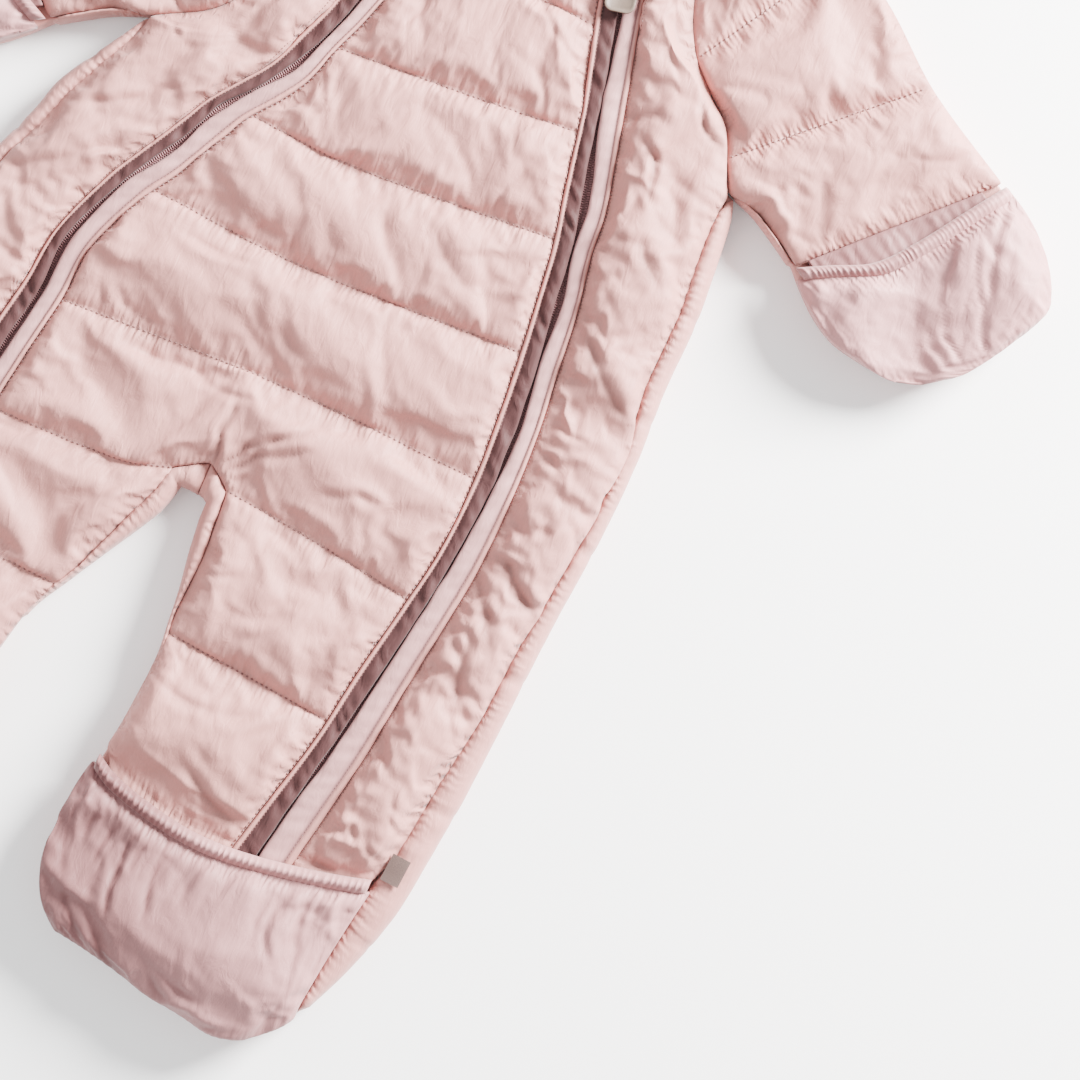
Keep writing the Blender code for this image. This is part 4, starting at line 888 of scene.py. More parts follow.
# Folds, from end to end: across, up, across, up, half width, depth.
SIDE_FOLDS = {
    "left": (
        (120, 268, 138, 267, 5, 2), (138, 267, 153, 267, 4, 1.6), (121, 248, 134, 254, 2.5, 3.6),
        (134, 254, 142, 251, 3, 2.2), (133, 240, 142, 234, 2.5, 3), (142, 234, 145, 227, 2.2, 3.6),
        (145, 227, 148, 213, 2.5, 3.4), (142, 234, 161, 227, 4, 2), (161, 227, 172, 224, 4, 1.6),
        (141, 190, 154, 191, 3, 2.6), (154, 191, 168, 177, 3.5, 3.6), (133, 182, 139, 182, 1.8, 2.8),
        (114, 302, 132, 302, 3, 2.2), (125, 297, 139, 289, 2.5, 2.6), (153, 269, 158, 258, 2, 3.6),
        (158, 258, 171, 253, 2, 3.4), (151, 210, 168, 201, 4, 1.8), (168, 201, 174, 196, 4, 1.6),
        (129, 200, 135, 211, 3, 1.6), (138, 152, 145, 146, 3.2, 2.9), (149, 137, 183, 108, 4.5, 4.2),
        (146, 122, 155, 117, 4, 1.8), (143, 108, 160, 103, 4, 2.3), (160, 103, 163, 91, 2, 1.3),
        (146, 91, 154, 88, 3.5, 1.6), (146, 77, 157, 75, 2.4, 2), (155, 77, 165, 68, 2.2, 2.1),
        (147, 61, 155, 58, 3, 2.1), (165, 61, 183, 56, 4, 2.3), (146, 43, 159, 33, 3, 2.3),
        (166, 43, 171, 41, 3.5, 1.8), (146, 22, 159, 17, 3, 2.9), (158, 18, 179, 2, 3, 4.2),
        (146, 7, 160, -10, 3.5, 3.6), (159, -9, 168, -25, 4, 3.4), (143, -19, 155, -34, 2.6, 2.9),
        (156, -25, 162, -53, 3, 3.4), (166, -56, 172, -63, 2.5, 2.1), (166, 43, 170, 40, 4, 1.8),
        (152, 40, 161, 35, 4, 1.6), (138, -43, 149, -51, 5, 1.3), (139, -37, 146, -42, 1.6, 1.6),
        (140, -132, 144, -139, 1.8, 2.6), (127, -142, 140, -132, 2.5, 1.8),
        (149, -138, 159, -143, 2.2, 3.1), (155, -121, 165, -128, 1.7, 2.6),
        (152, -108, 155, -117, 2, 1.8), (134, -85, 142, -97, 3, 1.8), (126, -115, 134, -124, 3, 1.6),
        (124, -157, 138, -157, 3.5, 2.9), (161, -60, 169, -73, 1.7, 1.3), (141, -149, 147, -142, 2, 1.6),
        (122, -150, 135, -150, 3, 1.8),
    ),
    "right": (
        (-156, 99, -138, 107, 3, 2), (-138, 107, -118, 122, 3, 2.2), (-118, 122, -104, 137, 2.6, 1.6),
        (-104, 137, -90, 145, 2.4, 1.2), (-144, 142, -123, 147, 2.4, 2),
        (-123, 147, -108, 155, 2.4, 2.4), (-108, 155, -98, 166, 2.2, 2), (-98, 166, -83, 173, 2.2, 1.6),
        (-90, 175, -79, 178, 3, 1.2), (-81, 181, -57, 191, 3, 1.6), (-78, 207, -65, 202, 2.6, 2.2),
        (-65, 202, -48, 206, 2.4, 1.8), (-107, 202, -100, 193, 1.6, 2.6), (-151, 93, -133, 66, 5, 1.6),
        (-133, 66, -130, 52, 4, 1.2), (-159, 104, -156, 117, 3, 1.6), (-156, 117, -146, 133, 2, 2.4),
        (-146, 133, -143, 138, 1.6, 2.4), (-138, 147, -133, 169, 2, 2), (-120, 142, -133, 129, 4, 1.4),
        (-134, 92, -120, 101, 5, 0.9), (-98, 200, -85, 185, 3, 1), (-113, 180, -100, 183, 4, 0.9),
        (-139, 176, -123, 182, 4, 0.9), (-148, 118, -134, 128, 2.4, 1.4), (-172, 62, -126, 48, 4, 2.6),
        (-178, 40, -128, 30, 3.5, 2.1), (-182, 18, -132, 2, 4, 2.3), (-184, -26, -140, -30, 3.5, 2.6),
        (-200, -70, -160, -56, 3.5, 2.6), (-214, -110, -176, -92, 4, 2.6),
    ),
}


def leg_share(side, up):
    return unit((HIP[side] + HIP_BLEND / 2 - up) / HIP_BLEND)


def on_side(side, up, body_across, leg_across):
    """A point at a height down one side: on the body, or on the leg and turned with it."""
    t = leg_share(side, up)
    t = t * t * (3 - 2 * t)
    u, v = LEG[side](leg_across, up)
    return body_across + (u - body_across) * t, up + (v - up) * t


def outer_front_edge(up):
    return SIDE["left"]["seam"](up) + 0.6 - 2.8 * unit((-140 - up) / 14)


def make_front_side(side):
    body, leg = zip_lines(side)
    way = WAY[side]
    seam = SIDE[side]["seam"]
    armhole = smooth_line(ARMHOLE[side])
    armpit = ARMHOLE[side][0][0]
    neck_u, neck_v, slope = NECK_SLOPE[side]
    opening = smooth_line(FOOT_OPENING)

    def point(t, share):
        lean = max(1 - t / 0.2, 0)
        up = level = NECK_UP + (LEG_END - NECK_UP) * t
        for _ in range(16):
            leg_low, leg_high = leg["outer"](up) + ZIP_GAP, outer_front_edge(up)
            low = body["outer"](min(up, 342)) + way * ZIP_GAP
            high = armhole(up) - way * 0.2 if up > armpit else seam(up) + way * 0.6
            on_leg = leg_low + (leg_high - leg_low) * share
            u, v = on_side(side, up, low + (high - low) * share, on_leg)
            rise = (neck_v - NECK_UP + slope * (u - neck_u) - 0.8) * lean
            up = 0.5 * up + 0.5 * (level + rise)
        width = leg_high - leg_low if up < HIP[side] else abs(high - low)
        from_zip, from_side = share * width, (1 - share) * width
        edge = min(rounding(from_zip, 8), rounding(from_side, 14), rounding(t * 520 + 0.5, 12))
        height = SEAM_HEIGHT + (8.4 + 1.4 * grain(u, v, 31, 1)) * edge + 0.2 * grain(u, v, 6, 2) * edge
        sewn = share in (0, 1) or t == 0
        if up < -110:
            height, hemmed = eased_to_hem(height, up, opening(on_leg))
            sewn = sewn or hemmed
        gather = 0.30 + 0.70 * bell(from_zip / 16)
        return u, v, height, float(sewn), gather, min(from_zip, from_side), 0.5 * up

    rows = round((NECK_UP - LEG_END) / FRONT_STEP)
    return skin(f"front_side_cloth_{side}", [grid(rows, 22, point)])


for side in ("left", "right"):
    front_side = make_front_side(side)
    puckers = {"height": 1.0, "pitch": 6.2, "reach": 9.0, "groove": 0.4}
    plump_up(front_side, SIDE_FOLDS[side], left_leg, {"gather": SIDE_GATHER[side]}, puckers)
    dress(front_side, SHELL, "shell_cloth", "front_side_" + side)
    body, leg = zip_lines(side)
    way = WAY[side]
    beside = [
        on_side(side, up, body["outer"](up) + way * 0.9, leg["outer"](up) + 0.9)
        for up in range(338, -164, -6)
    ]
    sew("front_side_stitches_" + side, front_side, [beside], THREAD, pitch=1.9, length=1.2, radius=0.26)

# ---- Zips ----------------------------------------------------------------------------
# Two closed nylon coil zips from the neck down to the feet: a dark woven tape with its ribbed coil, under
# two guards, each folded double and stitched down beside its panel. The guard on the side away from the
# light is painted in shade, the other painted lit. The guards' folded edges nearly meet over the coil, and
# part here and there.
GUARD_BASE = 15.5
ZIP_TOP = 342.5
SLIDER_UP = 334.0
COIL_BASE = 14.7
COIL_PITCH = 1.25
COIL_HALF = 2.5
TAPE_BROWN = (0.190, 0.078, 0.082)
COIL_BROWN = (0.260, 0.115, 0.120)
# Lit and shaded copies of one mauve: the dark one is painted shade, the pale one is painted lit.
GUARD_SHADED_MAUVE = (0.052, 0.021, 0.021)
GUARD_LIT_MAUVE = (0.385, 0.190, 0.186)
# Sections of a guard from its seam to its folded edge and back below: share of the width, height, and
# groove, the shade painted into its colour.
GUARD_SECTION = (
    (0, 15.8, 0.4), (-0.02, 17.2, 0.4), (0, 18.5, 0.1), (0.06, 19.1, 0), (0.14, 19.2, 0),
    (0.2, 18.9, 0.3), (0.235, 18.4, 0.9), (0.33, 18.8, 0.2), (0.45, 19.4, 0), (0.62, 19.6, 0),
    (0.78, 19.7, 0), (0.9, 19.5, 0), (0.97, 19, 0), (1, 18.2, 0.2), (0.97, 17.4, 0.8), (0.85, 16.9, 1),
    (0.5, 16.4, 1),
)
TAPE_SECTION = (
    (0, 13.5), (0, 14.2), (0.2, 14.4), (0.36, 14.7), (0.5, 14.8), (0.64, 14.7), (0.8, 14.4), (1, 14.2),
    (1, 13.5),
)
STITCHED_AT = 0.235


def zip_rows(side, low_line, high_line, high=ZIP_TOP, step=2.0):
    """Stations down a zip: the height, and a point on each of two lines."""
    body, leg = zip_lines(side)
    way = WAY[side]
    count = round((high - LEG_END) / step)
    rows = []
    for i in range(count + 1):
        up = high + (LEG_END - high) * i / count
        ends = [on_side(side, up, line(body, up, way), line(leg, up, 1)) for line in (low_line, high_line)]
        rows.append((up, *ends))
    return rows


def ribbon(name, rows, section):
    """A closed strip through rows of two points. section(up) gives its section: share, height, painted shade.
    """
    rings = [
        [
            (u1 + (u2 - u1) * share, v1 + (v2 - v1) * share, z, groove, float(share < 0.22 and z > 16))
            for share, z, groove in section(up)
        ]
        for up, (u1, v1), (u2, v2) in rows
    ]
    return skin(name, [rings], ("groove", "trim"), tube=True)


def make_coil(side):
    """The zip's coil: short ribs from both tapes that meet along the middle."""
    rows = zip_rows(side, lambda z, up, way: z["coil"](up), lambda z, up, way: z["coil"](up), step=3.0)
    verts, faces = [], []
    section = ((-0.46, 0.0), (-0.40, 0.55), (-0.16, 0.95), (0.16, 0.95), (0.40, 0.55), (0.46, 0.0))
    stations = ((0.1, 0.75), (1.2, 1.0), (2.2, 0.85), (COIL_HALF, 0.25))
    for hand, offset in ((1, 0.0), (-1, 0.5)):
        for spot, along in line_points([row[1] for row in rows], COIL_PITCH):
            across = Vector((-along.y, along.x)) * hand
            start = len(verts)
            for out, tall in stations:
                for step, lift in section:
                    p = spot + across * out + along * (step + offset * COIL_PITCH - 0.12 * out)
                    verts.append(scene_point(p.x, p.y, COIL_BASE + lift * tall))
            size = len(section)
            for s in range(len(stations) - 1):
                for k in range(size - 1):
                    a = start + s * size + k
                    faces.append((a, a + 1, a + 1 + size, a + size))
            faces.append(tuple(range(start, start + size)))
            last = start + (len(stations) - 1) * size
            faces.append(tuple(reversed(range(last, last + size))))
    return mesh_of(f"zip_coil_{side}", verts, faces)


def woven_tape(name, colour, ridge=1400.0):
    """Dense woven tape with a fine rib across it."""
    return grained(name, colour, (ridge, 2), (None, 0), (0.8, 1.15, 0.3, 0.7), (0.0002, 0.7), (0.6, 0.6))


def guard_section(side, line, up):
    """A guard's section, rumpled slantwise: more on guards painted in shade than on the smoother, lit ones.
    """
    rumple, slant, seed = (0.8, 9.0, 11) if (line == "inner") == (side == "left") else (0.5, 7.0, 12)
    seed += 4 * (side == "right")
    made = []
    for k, (share, z, groove) in enumerate(GUARD_SECTION):
        free = math.sin(math.pi * unit((share - 0.2) / 0.9)) if 6 < k < 14 else 0
        wave = 0.7 - 2.4 * abs(grain(up + slant * share, 3 * share, 6.5, seed))
        wave += 0.7 * grain(up + 14 * share, share, 11, seed + 1)
        lift = rumple * wave * free * 1.6
        edge = 0.05 * grain(up, 0, 15, seed + 2) * unit((share - 0.6) / 0.4)
        rim = 0.16 * grain(up, 1, 3.2, seed + 3) if 1 < k < 6 else 0
        made.append((share + edge, z + lift + rim, groove))
    return made


TAPE = woven_tape("zip_tape_brown", TAPE_BROWN)
COIL = woven_tape("zip_coil_brown", COIL_BROWN, 300.0)
# Guard cloths painted in shade and painted lit; the raised fold by the seam keeps the shell's own rose.
GUARD_SHADED = shell_cloth("guard_shaded_mauve", GUARD_SHADED_MAUVE, (0.040, 0.015, 0.015), 0.6, 0.0, SHELL_ROSE)
GUARD_SHADED.node_tree.nodes["Principled BSDF"].inputs["Specular IOR Level"].default_value = 0.12
GUARD_LIT = shell_cloth("guard_lit_mauve", GUARD_LIT_MAUVE, (0.170, 0.068, 0.068), 0.4, 0.0, SHELL_ROSE)
for side in ("left", "right"):
    edges = zip_rows(
        side, lambda z, up, way: z["inner"](up) + way * 1.2, lambda z, up, way: z["outer"](up) - way * 1.2
    )
    tape = ribbon(f"zip_tape_cloth_{side}", edges, lambda up: [(share, z, 0.0) for share, z in TAPE_SECTION])
    dress(tape, TAPE, "tape_cloth", "zip_tape_" + side)
    coil = make_coil(side)
    dress(coil, COIL, "tape_cloth")
    for line, sign in (("inner", 1), ("outer", -1)):
        # The guard on the side away from the light gets the painted shade, the other the painted light.
        cloth = GUARD_SHADED if (line == "inner") == (side == "left") else GUARD_LIT
        rows = zip_rows(
            side,
            lambda z, up, way: z[line](up) + sign * way * 0.1,
            lambda z, up, way: z["coil"](up) - sign * way * z["gap"](up),
            high=SLIDER_UP - 7,
        )
        guard = ribbon(f"zip_guard_cloth_{line}_{side}", rows, lambda up: guard_section(side, line, up))
        dress(guard, cloth, "guard_cloth", f"zip_guard_{line}_{side}")
        seam_line = [Vector(a) + (Vector(b) - Vector(a)) * STITCHED_AT for _, a, b in rows]
        stitches = {"pitch": 1.9, "length": 1.2, "radius": 0.24, "raise_by": 0.1}
        sew(f"zip_guard_stitches_{line}_{side}", guard, [seam_line], THREAD, **stitches)

# ---- Backs ---------------------------------------------------------------------------
# The two halves of the back lie on the ground, joined down the middle, and their padding rolls up round the
# sides as a plump rim to the seams of the front. The ends of the back's own quilting show as nicks in it,
# with shade painted into them and down in the seam at its top.
NECK_BACK = ((-34.7, 370), (2, 361), (44, 356.5), (84, 362.5), (121.3, 376))
BACK_FOOT = (
    (154.3, -231), (150.5, -237), (142.5, -245), (133, -252), (118, -256), (100, -253.6), (80, -250.8),
    (60, -246.3), (40, -242.3), (24, -238.5), (13.5, -230), (7, -217), (4.2, -202), (3.4, -186),
    (5, -170), (8, -157),
)
# Where the back's quilting lines come out at the rim: up, by side, and below the hip along the leg's lines.
RIM_NICKS = {"left": (168, 112, 39, -34, -110, -187), "right": (168, 120, 64, 6, -70, -132, -192)}
# The back between the legs, from each leg's rim to the middle seam: outline across, up, seam across, up,
# fullness.
GUSSET = {
    "left": (
        (5.7, -25, 15, -25, 1), (5.6, -19.5, 14.5, -16, 1), (5.6, -15.4, 13.4, -5.3, 0.9),
        (3.4, -13.8, 6.6, 0.1, 1), (0.8, -13.2, 0.8, 4.4, 0.3),
    ),
    "right": (
        (-11.6, -23.5, -20.5, -22.5, 1), (-10, -17, -18.8, -12, 1), (-9.2, -13, -17, -6.2, 0.9),
        (-4.8, -12.8, -7, 0.2, 1), (0.2, -13.2, 0.2, 4.4, 0.3),
    ),
}
# Sections from the underside to the top: share of the rim's width and mm in from the outline, height, and
# groove, the shade painted into its colour.
RIM_SECTIONS = {
    "side": (
        (0, 5, 0, 0), (0, 2.6, 0.5, 0), (0, 1.2, 2.2, 0), (0, 0.4, 4.8, 0), (0, 0, 8, 0),
        (0.03, 0, 11.2, 0), (0.12, 0, 14.4, 0), (0.26, 0, 17, 0), (0.44, 0, 18.7, 0), (0.62, 0, 19.3, 0),
        (0.78, 0, 19, 0.1), (0.9, 0, 18.1, 0.4), (0.97, 0, 17, 0.7), (1, 0, 15.4, 0.9),
        (1, 0.4, 13, 0.9),
    ),
    "free": (
        (0, 5, 0, 0), (0, 3.4, 0.8, 0), (0, 2.2, 2.6, 0), (0, 1.6, 4.8, 0), (0, 1.4, 7, 0),
        (0, 1.5, 8.8, 0), (0, 1.7, 10.2, 0), (0, 1.9, 11.2, 0), (0, 2.1, 12, 0), (0, 2.3, 12.5, 0.2),
        (0, 2.5, 12.8, 0.4), (0, 2.8, 12.9, 0.6), (0, 3.1, 13, 0.7), (0, 3.4, 13, 0.8),
        (0, 3.8, 13, 0.9),
    ),
}
RIM_SECTIONS["joint"] = tuple((a, 0.02 if z > 5 else 0.4 * b, z, 0.6) for a, b, z, _ in RIM_SECTIONS["free"])


def curve_through(points, step=2.6):
    """Evenly spaced points on a smooth curve through the given ones."""
    spots = [Vector(p[:2]) for p in points]
    made = []
    for i in range(len(spots) - 1):
        before, after = spots[max(i - 1, 0)], spots[min(i + 2, len(spots) - 1)]
        a, b = spots[i], spots[i + 1]
        count = max(round((b - a).length / step), 1)
        ta, tb = (b - before) * 0.5, (after - a) * 0.5
        for k in range(count):
            t = k / count
            h0, h1 = 2 * t**3 - 3 * t**2 + 1, t**3 - 2 * t**2 + t
            h2, h3 = 3 * t**2 - 2 * t**3, t**3 - t**2
            made.append(tuple(a * h0 + ta * h1 + b * h2 + tb * h3))
    made.append(tuple(spots[-1]))
    return made


def rim_cloth(name, outline, nicks=(), seed=0):
    """A flat padded back from its closed outline of (across, up, kind, rim width)."""
    count = len(outline)
    area = sum(
        outline[i][0] * outline[(i + 1) % count][1] - outline[(i + 1) % count][0] * outline[i][1]
        for i in range(count)
    )
    way = 1 if area > 0 else -1
    columns = []
    track = 0.0
    for i, (u, v, kind, width, *fade) in enumerate(outline):
        rise = fade[0] if fade else 1.0
        before, after = outline[i - 2], outline[(i + 2) % count]
        du, dv = after[0] - before[0], after[1] - before[1]
        size = math.hypot(du, dv)
        n = (-dv / size * way, du / size * way)
        if len(fade) > 1:
            du, dv = fade[1][0] - u, fade[1][1] - v
            width = math.hypot(du, dv)
            n = (du / width, dv / width)
        track += math.hypot(u - outline[i - 1][0], v - outline[i - 1][1]) if i else 0
        nick = max((math.exp(-(((u - x) ** 2 + (v - y) ** 2) / 5.0)) for x, y in nicks), default=0.0)
        column = []
        for k, (share, inset, height, groove) in enumerate(RIM_SECTIONS[kind]):
            distance = share * width + inset
            z = height
            if kind == "side":
                top = unit((height - 3) / 12)
                uneven = 0.35 * grain(track, 4 * share, 11, seed)
                distance += top * (0.9 * nick * (1 - share) + uneven * (1 - share))
                z -= top * (1.5 * nick - 0.45 * grain(track, 3 * share, 7, seed + 1))
                tuck = math.sin(2 * math.pi * (track / 4.0 + 0.8 * grain(track, 0, 17, seed + 2)))
                z += 0.9 * tuck * max(share - 0.3, 0) * (share < 0.99)
                # Painted shade in the nicks, as down in the seam.
                groove = min(groove + 0.5 * nick, 1)
                z = min(z, BACK_TOP) + max(z - BACK_TOP, 0) * rise
            from_seam = (1 - share) * width if kind == "side" else 30.0
            place = u + n[0] * distance, v + n[1] * distance, max(z, 0)
            column.append((*place, 0.14 * groove, from_seam, 0.7 * track, 0.8))
        columns.append(column)
    return skin(name, [list(zip(*columns))], ("groove", "from_seam", "along_seam", "tuck"), tube=True)


def side_outline(side, high, low=-226, step=2.6):
    """The garment's edge down one side, with the width of its rim."""
    body, leg = SIDE[side], SIDE["left"]
    count = round((high - low) / step)
    line = []
    for i in range(count + 1):
        up = high + (low - high) * i / count
        t = leg_share(side, up)
        edge, leg_edge = body["edge"](up), leg["edge"](up)
        u, v = on_side(side, up, edge, leg_edge)
        width = (1 - t) * abs(edge - body["seam"](up)) + t * (leg_edge - leg["seam"](up))
        line.append((u, v, "side", max(width - 0.1, 2.4), unit((high - up) / 16) ** 0.6))
    return line


def make_back(side):
    sign = WAY[side]
    place = LEG[side]
    armhole = smooth_line(ARMHOLE[side])
    low, high = ARMHOLE[side][0][0], ARMHOLE[side][-1][0]
    middle = CROTCH_POINT[0] + sign * 0.15
    nape_u, nape_v = NECK_BACK[2]
    neck = [(nape_u + sign * 0.15, nape_v), NECK_BACK[2 + sign], (armhole(high) - sign * 0.6, high - 0.6)]
    outline = [(u, v, "joint", 0) for u, v in curve_through(neck)]
    count = 52
    for i in range(1, count + 1):
        up = high + (low + 1 - high) * i / count
        outline.append((armhole(up) - sign * 0.3, up, "joint", 0))
    outline += side_outline(side, low - 1)
    outline += [(*place(u, v), "free", 0) for u, v in curve_through(BACK_FOOT)]
    for i in range(18):
        up = -154 + 2.8 * i
        outline.append((*place(INNER["edge"](up), up), "free", 0))
    for i in range(28):
        up = -103 + 2.7 * i
        edge = INNER["edge"](up)
        width = max(INNER["seam"](up) - edge, 2.6)
        outline.append((*place(edge, up), "side", width, min((up + 104) / 20, 1) ** 0.6))
    for (u, v, iu, iv, rise), (u2, v2, iu2, iv2, rise2) in zip(GUSSET[side], GUSSET[side][1:]):
        for i in range(1, 5):
            t = i / 4
            low, top = (u + (u2 - u) * t, v + (v2 - v) * t), (iu + (iu2 - iu) * t, iv + (iv2 - iv) * t)
            outline.append((*low, "side", 8.0, rise + (rise2 - rise) * t, top))
    outline.append((middle, -12.6, "joint", 0))
    count = 120
    for i in range(1, count):
        t = i / count
        outline.append((middle + (nape_u - CROTCH_POINT[0]) * t, -9 + (nape_v + 9) * t, "joint", 0))
    body, leg = SIDE[side]["edge"], SIDE["left"]["edge"]
    nicks = [on_side(side, up, body(up), leg(up)) for up in RIM_NICKS[side]]
    return rim_cloth(f"back_cloth_{side}", outline, nicks, 20 + sign)


for side in ("left", "right"):
    back = make_back(side)
    dress(back, SHELL, "shell_cloth", "back_" + side)

# ---- Sleeves -------------------------------------------------------------------------
# Padded like the front, quilted across the arm and sewn in at the armholes. Each has a front and a back half;
# the back half turns up as a narrow rim along the arm and lies flat under the hand.
SLEEVE_PLACE = {"left": (184, 233, 31.0, 1), "right": (-121, 196, 33.0, -1)}
SLEEVE_TOP = {
    "left": ((-127, 90.5), (-120, 101), (-106, 110.5), (-71, 119), (-34, 121), (16, 114.5), (77, 116)),
    "right": ((-166.5, 99.5), (-158, 109), (-140, 116), (-100, 121), (-34, 121), (16, 114.5), (77, 116)),
}
SLEEVE_LOWER = ((0, 0.5), (16, 3.6), (49, 3.9), (90, 3.2))
SLEEVE_QUILTS = ((0, -65.5, 120, -65.5), (0, -18.5, 112, 13.0), (0, 46.0, 112, 72.8))
MITT_LOWER = ((47, 4.1), (60, 0.4), (84, -2.2), (102, 2.6), (120, 11.5), (133, 24.5), (139, 38), (141.6, 57))
MITT_UPPER = ((75, 116.4), (95, 116.3), (112, 113.4), (125, 108.5), (135, 102), (140.5, 95), (141.6, 84))
# Folds on the left sleeve's own plan: along the arm, across it, along, across, half width, depth.
SLEEVE_FOLDS = (
    (-34, 68, -34, 84, 2, 1.2), (-33, 86, -23, 93, 5, 1), (-20, 100, -18, 109, 4, 1.6),
    (-12, 98, -5, 114, 3, 1), (-2, 65, 10, 59, 2, 2), (5, 79, 16, 78, 2, 1.8), (-30, 61, -8, 58, 3, 1),
    (-14, 70, -3, 66, 3.5, 1.4), (-8, 94, 1, 89, 2, 1.2), (6, 91, 16, 86, 3, 1.2),
    (29, 76, 40, 87, 4, 1.8), (40, 87, 49, 100, 2.5, 1.4), (28, 46, 38, 65, 4, 1.2),
    (11, 22, 17, 20, 2.5, 1.6), (-11, 9, -7, 20, 4, 1), (-60, 32, -23, 21, 6, 1.2),
    (14, 71, 22, 68, 3, 1), (-64, 69, -57, 72, 3, 1.6), (-65, 37, -65, 45, 3, 1.4),
    (13, 20, 26, 18, 2, 1.4), (34, 38, 36, 53, 4, 1.4), (33, 14, 46, 21, 2.4, 1.4),
)


def sleeve_point(side, along, across):
    u, v, angle, way = SLEEVE_PLACE[side]
    c, s = math.cos(math.radians(angle)), math.sin(math.radians(angle))
    return u + way * (along * c + across * s), v - along * s + across * c


def on_sleeve(side):
    return lambda along, across: sleeve_point(side, along, across)


def sleeve_plan(side, u, v):
    u0, v0, angle, way = SLEEVE_PLACE[side]
    c, s = math.cos(math.radians(angle)), math.sin(math.radians(angle))
    du, dv = way * (u - u0), v - v0
    return du * c - dv * s, du * s + dv * c


def sleeve_seam(side):
    """The armhole on the sleeve's own plan."""
    armhole = smooth_line(ARMHOLE[side])
    low, high = ARMHOLE[side][0][0], ARMHOLE[side][-1][0]
    heights = [low, low + 2.5] + [low + (high - low) * i / 24 for i in range(1, 25)]
    return [sleeve_plan(side, armhole(up), up) for up in heights]


def make_sleeve_front(side):
    seam = sleeve_seam(side)
    armhole = smooth_line(seam)
    lower, upper = smooth_line(SLEEVE_LOWER), smooth_line(SLEEVE_TOP[side])
    start = seam[-1][0]

    def low_edge(along):
        rim = 2.8 * unit(along / 14)
        return (armhole(along) if along < 0 else max(lower(along), armhole(0))) + 0.25 + rim

    def high_edge(along):
        return upper(along) - 0.7 - 2.6 * max(1 - (along - start) / 28, 0)

    first, second, hem = (smooth_line(((a, b), (c, d))) for a, b, c, d in SLEEVE_QUILTS)
    lines = [lambda q: start + 6.5, first, second, hem]
    if side == "right":
        lines.insert(1, smooth_line(((0, -122), (120, -122))))

    def point(t, curve, share, span):
        q = 60.0
        for _ in range(14):
            along = curve(q)
            low, high = low_edge(along), high_edge(along)
            q = 0.5 * q + 0.5 * ((1 - t) * low + t * high)
        along = curve(q)
        return quilt_point(*sleeve_point(side, along, q), share, span, q - low, high - q, q, along)

    return skin(f"sleeve_front_cloth_{side}", [quilted_grid(lines, 42, point)])


def make_sleeve_back(side):
    seam = sleeve_seam(side)
    armhole = smooth_line(seam)
    lower, upper = smooth_line(SLEEVE_LOWER), smooth_line(SLEEVE_TOP[side])
    low_mitt, high_mitt = smooth_line(MITT_LOWER), smooth_line(MITT_UPPER)
    outline = []

    def run(points, kind, width=0.0):
        spots = curve_through(points)[:-1]
        for i, p in enumerate(spots):
            fade = min(min(i, len(spots) - i) * 2.6 / 14, 1) ** 0.6
            outline.append((*sleeve_point(side, *p), kind, width, fade))

    end_along, end_q = SLEEVE_TOP[side][1]
    joint = [(along + 0.15, q + 0.3) for along, q in [*seam[:3:-3], seam[2], seam[1]]]
    arm = [(along, max(lower(along), armhole(0) + 0.4)) for along in (3, 16, 31)]
    run([*joint, arm[0]], "joint")
    run([*arm, (46, lower(46))], "side", 2.6)
    palm = [(46, lower(46))] + [(along, low_mitt(along)) for along in (60, 75, 90, 104, 118, 130, 138)]
    palm += [(141.4, 56), (141.6, 70), (141.6, 84)]
    palm += [(along, high_mitt(along)) for along in (138, 128, 112, 95, 78)]
    run(palm, "free")
    alongs = (66, 46, 30, 12, -6, -24, -42, -62, -82, -98, -112)
    shoulder = [(along, upper(along)) for along in alongs]
    if side == "right":
        shoulder += [(along, upper(along)) for along in (-127, -140, -151)]
    run([*shoulder, (end_along, end_q)], "free")
    run([(end_along, end_q), joint[0]], "free")
    nicks = []
    for quilt, edge in ((SLEEVE_QUILTS[0], upper), (SLEEVE_QUILTS[1], upper), (SLEEVE_QUILTS[1], lower)):
        at = smooth_line((quilt[:2], quilt[2:]))
        along = at(110 if edge is upper else 4)
        nicks.append(sleeve_point(side, along, edge(along)))
    return rim_cloth(f"sleeve_back_cloth_{side}", outline, nicks, 31)


for side in ("left", "right"):
    sleeve = make_sleeve_front(side)
    puckers = {"height": 0.55, "pitch": 5.4, "reach": 5.5}
    plump_up(sleeve, SLEEVE_FOLDS, on_sleeve(side), {"lift": 0.4, "gather": 0.11}, puckers)
    dress(sleeve, SHELL, "shell_cloth", "sleeve_front_" + side)
    quilting = []
    for a, b, c, d in SLEEVE_QUILTS[:2]:
        curve = smooth_line(((a, b), (c, d)))
        quilting.append([sleeve_point(side, curve(q), q) for q in range(9, 112, 4)])
    sew("sleeve_stitches_" + side, sleeve, quilting, THREAD)
    sleeve_back = make_sleeve_back(side)
    dress(sleeve_back, SHELL, "shell_cloth", "sleeve_back_" + side)


# ---- Mitts ---------------------------------------------------------------------------
# Fold-over hand covers of the unpadded shell, cut full and gathered along a ribbed elastic casing. Inside the
# opening the sleeve ends in a short gathered cuff.
MITT_OPENING = ((0, 46), (4, 48), (20, 57.5), (38.5, 69), (61, 73), (90, 74.6), (117, 76))
MITT_TIP = ((20, 141.8), (57, 141.8), (84, 141.8), (110, 141.8))
MITT_END = 142.6
MITT_HEIGHT = 15.5
MITT_ROUNDING = 22.0
CASING_WIDTH = 7.5
CASING_BASE = 20.6
CUFF_LENGTH = 24.0
CUFF_WAVES = 15
FLAP_MAUVE = (0.400, 0.190, 0.188)
# FLAP_SHADE is painted shade, for the flaps' seams and creases, the cuffs and the feet's far corners.
FLAP_SHADE = (0.125, 0.046, 0.046)
